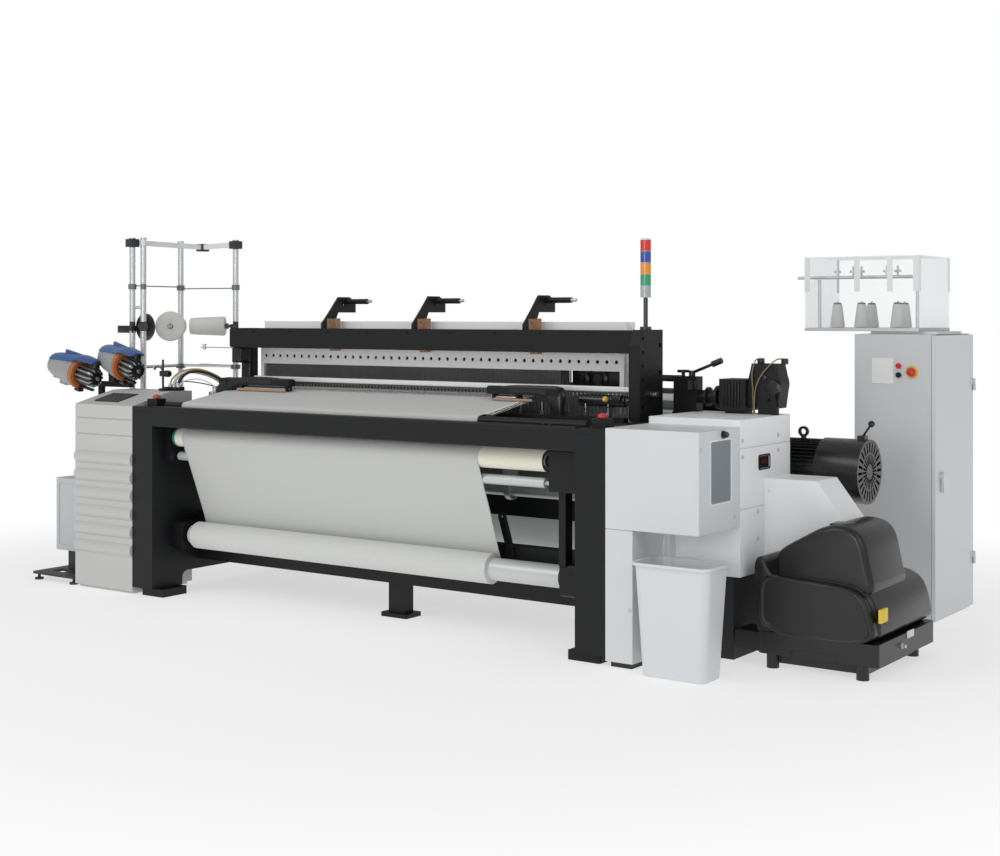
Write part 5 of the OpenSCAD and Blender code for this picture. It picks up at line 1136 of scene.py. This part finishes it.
# %% Latches, window, display and rims of the housings
SIDE_X = 1875
LATCHES = [(14, 915), (382, 928), (726, 933), (382, 861), (726, 867), (310, 621), (527, 620), (527, 506)]
latch_profile = [(-1, 0), (-1, 9), (2.2, 9), (3, 7.5), (3, 0)]
shells = [turned(latch_profile, (1556, 0, 244), TO_FRONT, 24),
          block((1549, -6, 242), (1563, -2, 246), 1.2, 0.8, axis=1)]
for d, z in LATCHES:
    shells.append(turned(latch_profile, (SIDE_X, d, z), RIGHT, 24))
    shells.append(block((SIDE_X + 2, d - 7, z - 1.8), (SIDE_X + 6, d + 7, z + 1.8), 1.2, 0.8, axis=0))
piece("panel_latches", shells, guide_metal)
slats = [slim((SIDE_X - 3.9, d, 694), (SIDE_X - 2.4, d + 2.6, 937)) for d in np.arange(106, 276, 5.6)]
window_steel = finish("window_steel", (0.34, 0.39, 0.43), 0.35, 0.4, mottle=0.05, edge=0.0)
piece("window_slats", slats, window_steel)


def opening_rim(low_d, high_d, low_z, high_z, rim=5):
    """A frame round an opening in the side: inner outline outwards, over the face and down outside."""
    wide, tall = high_d - low_d, high_z - low_z
    outer = round_ring(wide + 2 * rim, tall + 2 * rim, 12, 6)
    inner = round_ring(wide - 2, tall - 2, 9, 6)
    middle = (SIDE_X, (low_d + high_d) / 2, (low_z + high_z) / 2)
    steps = ((inner, -2.5), (inner, 1.4), (inner, 1.8), (outer, 1.8), (outer, 0.6), (outer, -0.5))
    return loft([section(outline, SIDE_X + x, middle) for outline, x in steps], capped=False)


piece("window_rim", opening_rim(100, 280, 688, 943), white_paint, closed=False)
piece("display_rim", opening_rim(538, 644, 798, 854), black_gloss, closed=False)
lit = finish("lit_digits", (0.25, 0.01, 0.01), 0.3, edge=0.0)
BARS = ((0, 0, 2, 14), (8, 0, 2, 14), (0, 0, 10, 2), (0, 14, 10, 2))
digits = [slim((SIDE_X - 1.2, d + dd, 818 + dz), (SIDE_X - 0.8, d + dd + wide, 818 + dz + tall))
          for d in (574, 590, 606) for dd, dz, wide, tall in BARS]
piece("display_digits", digits, lit)
button_profile = [(-1, 0), (-1, 9), (7, 9), (9, 7), (9, 0)]
black_fitting("beam_buttons", [turned(button_profile, (x, 52, 981), UP, 20) for x in (1096, 1132)])
print("latches", len(LATCHES) + 1, "slats", len(slats))

# %% [markdown]
# The clear box is held by short tapes at its edges. Each is a thin strip just off the sheet.

# %% Tapes of the clear box
BOX_X, BOX_D, BOX_TOP = (1581, 2163), (1660, 2088), 1740
TAPE_WIDE, TAPE_LONG = 28, 172
tape_plastic = finish("tape", (0.82, 0.84, 0.84), 0.5, mottle=0.03, edge=0.0)
plans = [(x, x + TAPE_WIDE, BOX_D[0] - 0.9, BOX_D[0] - 0.1)
         for x in (BOX_X[0], 1840, 2006, BOX_X[1] - TAPE_WIDE)]
plans += [(x, x + 0.8, d, d + TAPE_WIDE) for d in (BOX_D[0], BOX_D[1] - TAPE_WIDE)
          for x in (BOX_X[1] + 0.1, BOX_X[0] - 0.9)]
tapes = [slim((x0, d0, BOX_TOP - TAPE_LONG), (x1, d1, BOX_TOP - 1)) for x0, x1, d0, d1 in plans]
piece("cover_tapes", tapes, tape_plastic)
print("tapes", len(tapes))

# %% [markdown]
# A cone of yarn is wound in layers that pull its shoulders round, so its profile is a straight flank
# with soft ends.

# %% Cones of yarn on the creel and in the clear box
def yarn_package(start, axis, wide, narrow, length, tube=9.0):
    """A cone in soft shoulders: straight flank from wide to narrow, faces hollowed towards the tube."""
    profile = [(4, tube), (1, wide * 0.45), (0, wide * 0.8), (2, wide * 0.94), (8, wide),
               (length - 8, narrow), (length - 2, narrow * 0.93), (length, narrow * 0.8), (length - 3, tube)]
    return turned(profile, start, axis, 48)


def tube_end(start, axis, radius, reach):
    """The end of a paper tube, a little narrower towards its tip."""
    profile = [(0, 0), (0, radius), (reach - 3, radius * 0.9), (reach, radius * 0.8), (reach, 0)]
    return turned(profile, start, axis, 24)


CONE_Z = 1390
PEG, PEG_TIP = np.array([-1815, 1098, CONE_Z]), np.array([-2022, 951, CONE_Z])
FACE, POST = np.array([-2050, 825, CONE_Z]), np.array([-2268, 1113, CONE_Z])
peg_way, face_way = unit(PEG_TIP - PEG), unit(FACE - POST)
creel_cones = [yarn_package(PEG + 40 * peg_way, peg_way, 57, 49, 208),
               yarn_package(FACE, -face_way, 88, 69, 172)]
SELVEDGE_CONES = [(1716, 1750), (1841, 1750), (2025, 1750), (1797, 1990), (1969, 1990)]
box_cones = [yarn_package((x, d, 1393), UP, 36, 23, 116, 8.0) for x, d in SELVEDGE_CONES]
piece("wound_cones", creel_cones + box_cones, cone_yarn)
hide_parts("yarn_cones")
tips = [tube_end(PEG + 22 * peg_way, peg_way, 17, 24), tube_end(PEG + 240 * peg_way, peg_way, 16, 12),
        tube_end(FACE - 6 * face_way, face_way, 17, 12)]
tips += [tube_end((x, d, 1504), UP, 21, 12) for x, d in SELVEDGE_CONES]
piece("cone_tubes", tips, dark_steel)
print("cones", len(creel_cones), "on the creel,", len(box_cones), "in the box")

# %% [markdown]
# Flat bars tie the posts of the creel to an apex behind it. A dark disc on a peg brakes the yarn.

# %% Flat bars, brake disc and sensor of the creel
def flat_strip(a, b, z, wide, thick):
    """A flat bar between two places on the floor plan, at height z."""
    a, b = np.asarray(a, float), np.asarray(b, float)
    along = unit(b - a)
    side = np.array([-along[1], along[0]]) * wide / 2
    top = z + thick
    return loft([[(*(p - side), z), (*(p + side), z), (*(p + side), top), (*(p - side), top)]
                 for p in (a, b)])


POSTS = ((-2182, 655), (-2268, 1113), (-1870, 1182))
APEX = (-2310, 1336)
plates = [flat_strip(POSTS[0], APEX, 1142, 44, 5), flat_strip(APEX, POSTS[2], 1148, 44, 5)]
collar = [(0, 20), (0, 29), (26, 29), (26, 20), (0, 20)]
plates += [turned(collar, (x, d, 1133), UP, 28) for x, d in POSTS]
piece("creel_plates", plates, dark_steel)
DISC_MIDDLE = (-2184, 757, 1384)
disc_profile = [(-20, 0), (-20, 54), (-16, 74), (-9, 80), (9, 80), (16, 74), (20, 54), (20, 0)]
black_fitting("creel_brake_disc", [turned(disc_profile, DISC_MIDDLE, (0.97, 0.22, 0), 40),
                                   bar([(-2130, 692, 1384), DISC_MIDDLE], 7.0)])
black_fitting("creel_sensor_box", block((-2294, 640, 1351), (-2166, 670, 1394), 4, 2, axis=0))
print("creel bars and collars", len(plates))

# %% [markdown]
# The warp drive has a round motor, cable glands, ribs and bolts on its face, with two cables that
# bow down to its foot.

# %% Motor, cables and bolts of the warp drive
def cap_screw(at, axis, radius=6.0, height=5.0):
    """A socket head: a low turned drum with a rounded rim and a hollow in its face."""
    profile = [(-1, 0), (-1, radius), (height - 1, radius), (height, radius - 1),
               (height, radius * 0.55), (height * 0.4, radius * 0.5), (height * 0.4, 0)]
    return turned(profile, at, axis, 16)


DRIVE_FACE, DRIVE_TOP = 745, 1240
RIB_PITCH = 15
cap_profile = [(0, 0), (0, 30), (18, 30), (19, 27), (19, 0)]
gland_profile = [(0, 0), (0, 15), (5, 15), (7, 12), (7, 0)]
round_motor = [turned(cap_profile, (1852, DRIVE_FACE + 1, 1136), TO_FRONT, 32),
               turned(gland_profile, (1800, DRIVE_FACE + 1, 1180), TO_FRONT, 24)]
round_motor += [block((x - 13, DRIVE_FACE + 12, DRIVE_TOP - 2),
                      (x + 13, DRIVE_FACE + 44, DRIVE_TOP + 24), 8, 4) for x in (1772, 1886)]
round_motor += [cap_screw((x, DRIVE_FACE, z), TO_FRONT, 7)
                for x, z in ((1745, 1080), (1745, 1215), (1835, 1215), (1868, 1060))]
round_motor += [block((x, DRIVE_FACE - 26, 1044), (x + 5, DRIVE_FACE - 19, 1158), 1.5, 1)
                for x in range(1610, 1610 + 6 * RIB_PITCH, RIB_PITCH)]
black_fitting("drive_motor_cap", round_motor)
CABLE_ROUTES = ([(1772, 26, 1262), (1756, 4, 1252), (1746, -8, 1195), (1750, -8, 1130), (1752, -8, 1060),
                 (1752, -4, 1019)],
                [(1886, 26, 1262), (1856, -2, 1256), (1800, -12, 1200), (1766, -12, 1136), (1758, -10, 1060),
                 (1757, -4, 1019)])
cables = [bar(smooth_path(np.add(route, [0, DRIVE_FACE, 0]), 10), 3.0) for route in CABLE_ROUTES]
brown_cable = finish("brown_cable", (0.22, 0.17, 0.08), 0.4, mottle=0.1, edge=0.0)
piece("drive_cables", cables, brown_cable)
print("drive cap of", len(round_motor), "shells,", len(cables), "cables")

# %% [markdown]
# Along the cloth's right edge the weft ends stick out a little. Each has its own length from a sine
# of its number, so that every run gives the same fringe.

# %% Loose weft ends
TAILS = 64
TAIL_PITCH = 4.7
CLOTH_EDGE = CLOTH_X[1] - 1
tails = []
for k in range(TAILS):
    d = 130 + TAIL_PITCH * k
    z = 1007 + (d - 104) * 60 / 366
    reach = 30 + 26 * math.sin(k * 2.4) ** 2
    route = [(CLOTH_EDGE, d, z), (CLOTH_EDGE + reach * 0.5, d + 2 * math.sin(k), z + 1),
             (CLOTH_EDGE + reach, d + 4 * math.sin(k * 1.7), z - 5)]
    tails.append(bar(route, 0.6, 5))
piece("weft_tails", tails, thread_white)
print("weft tails", len(tails))
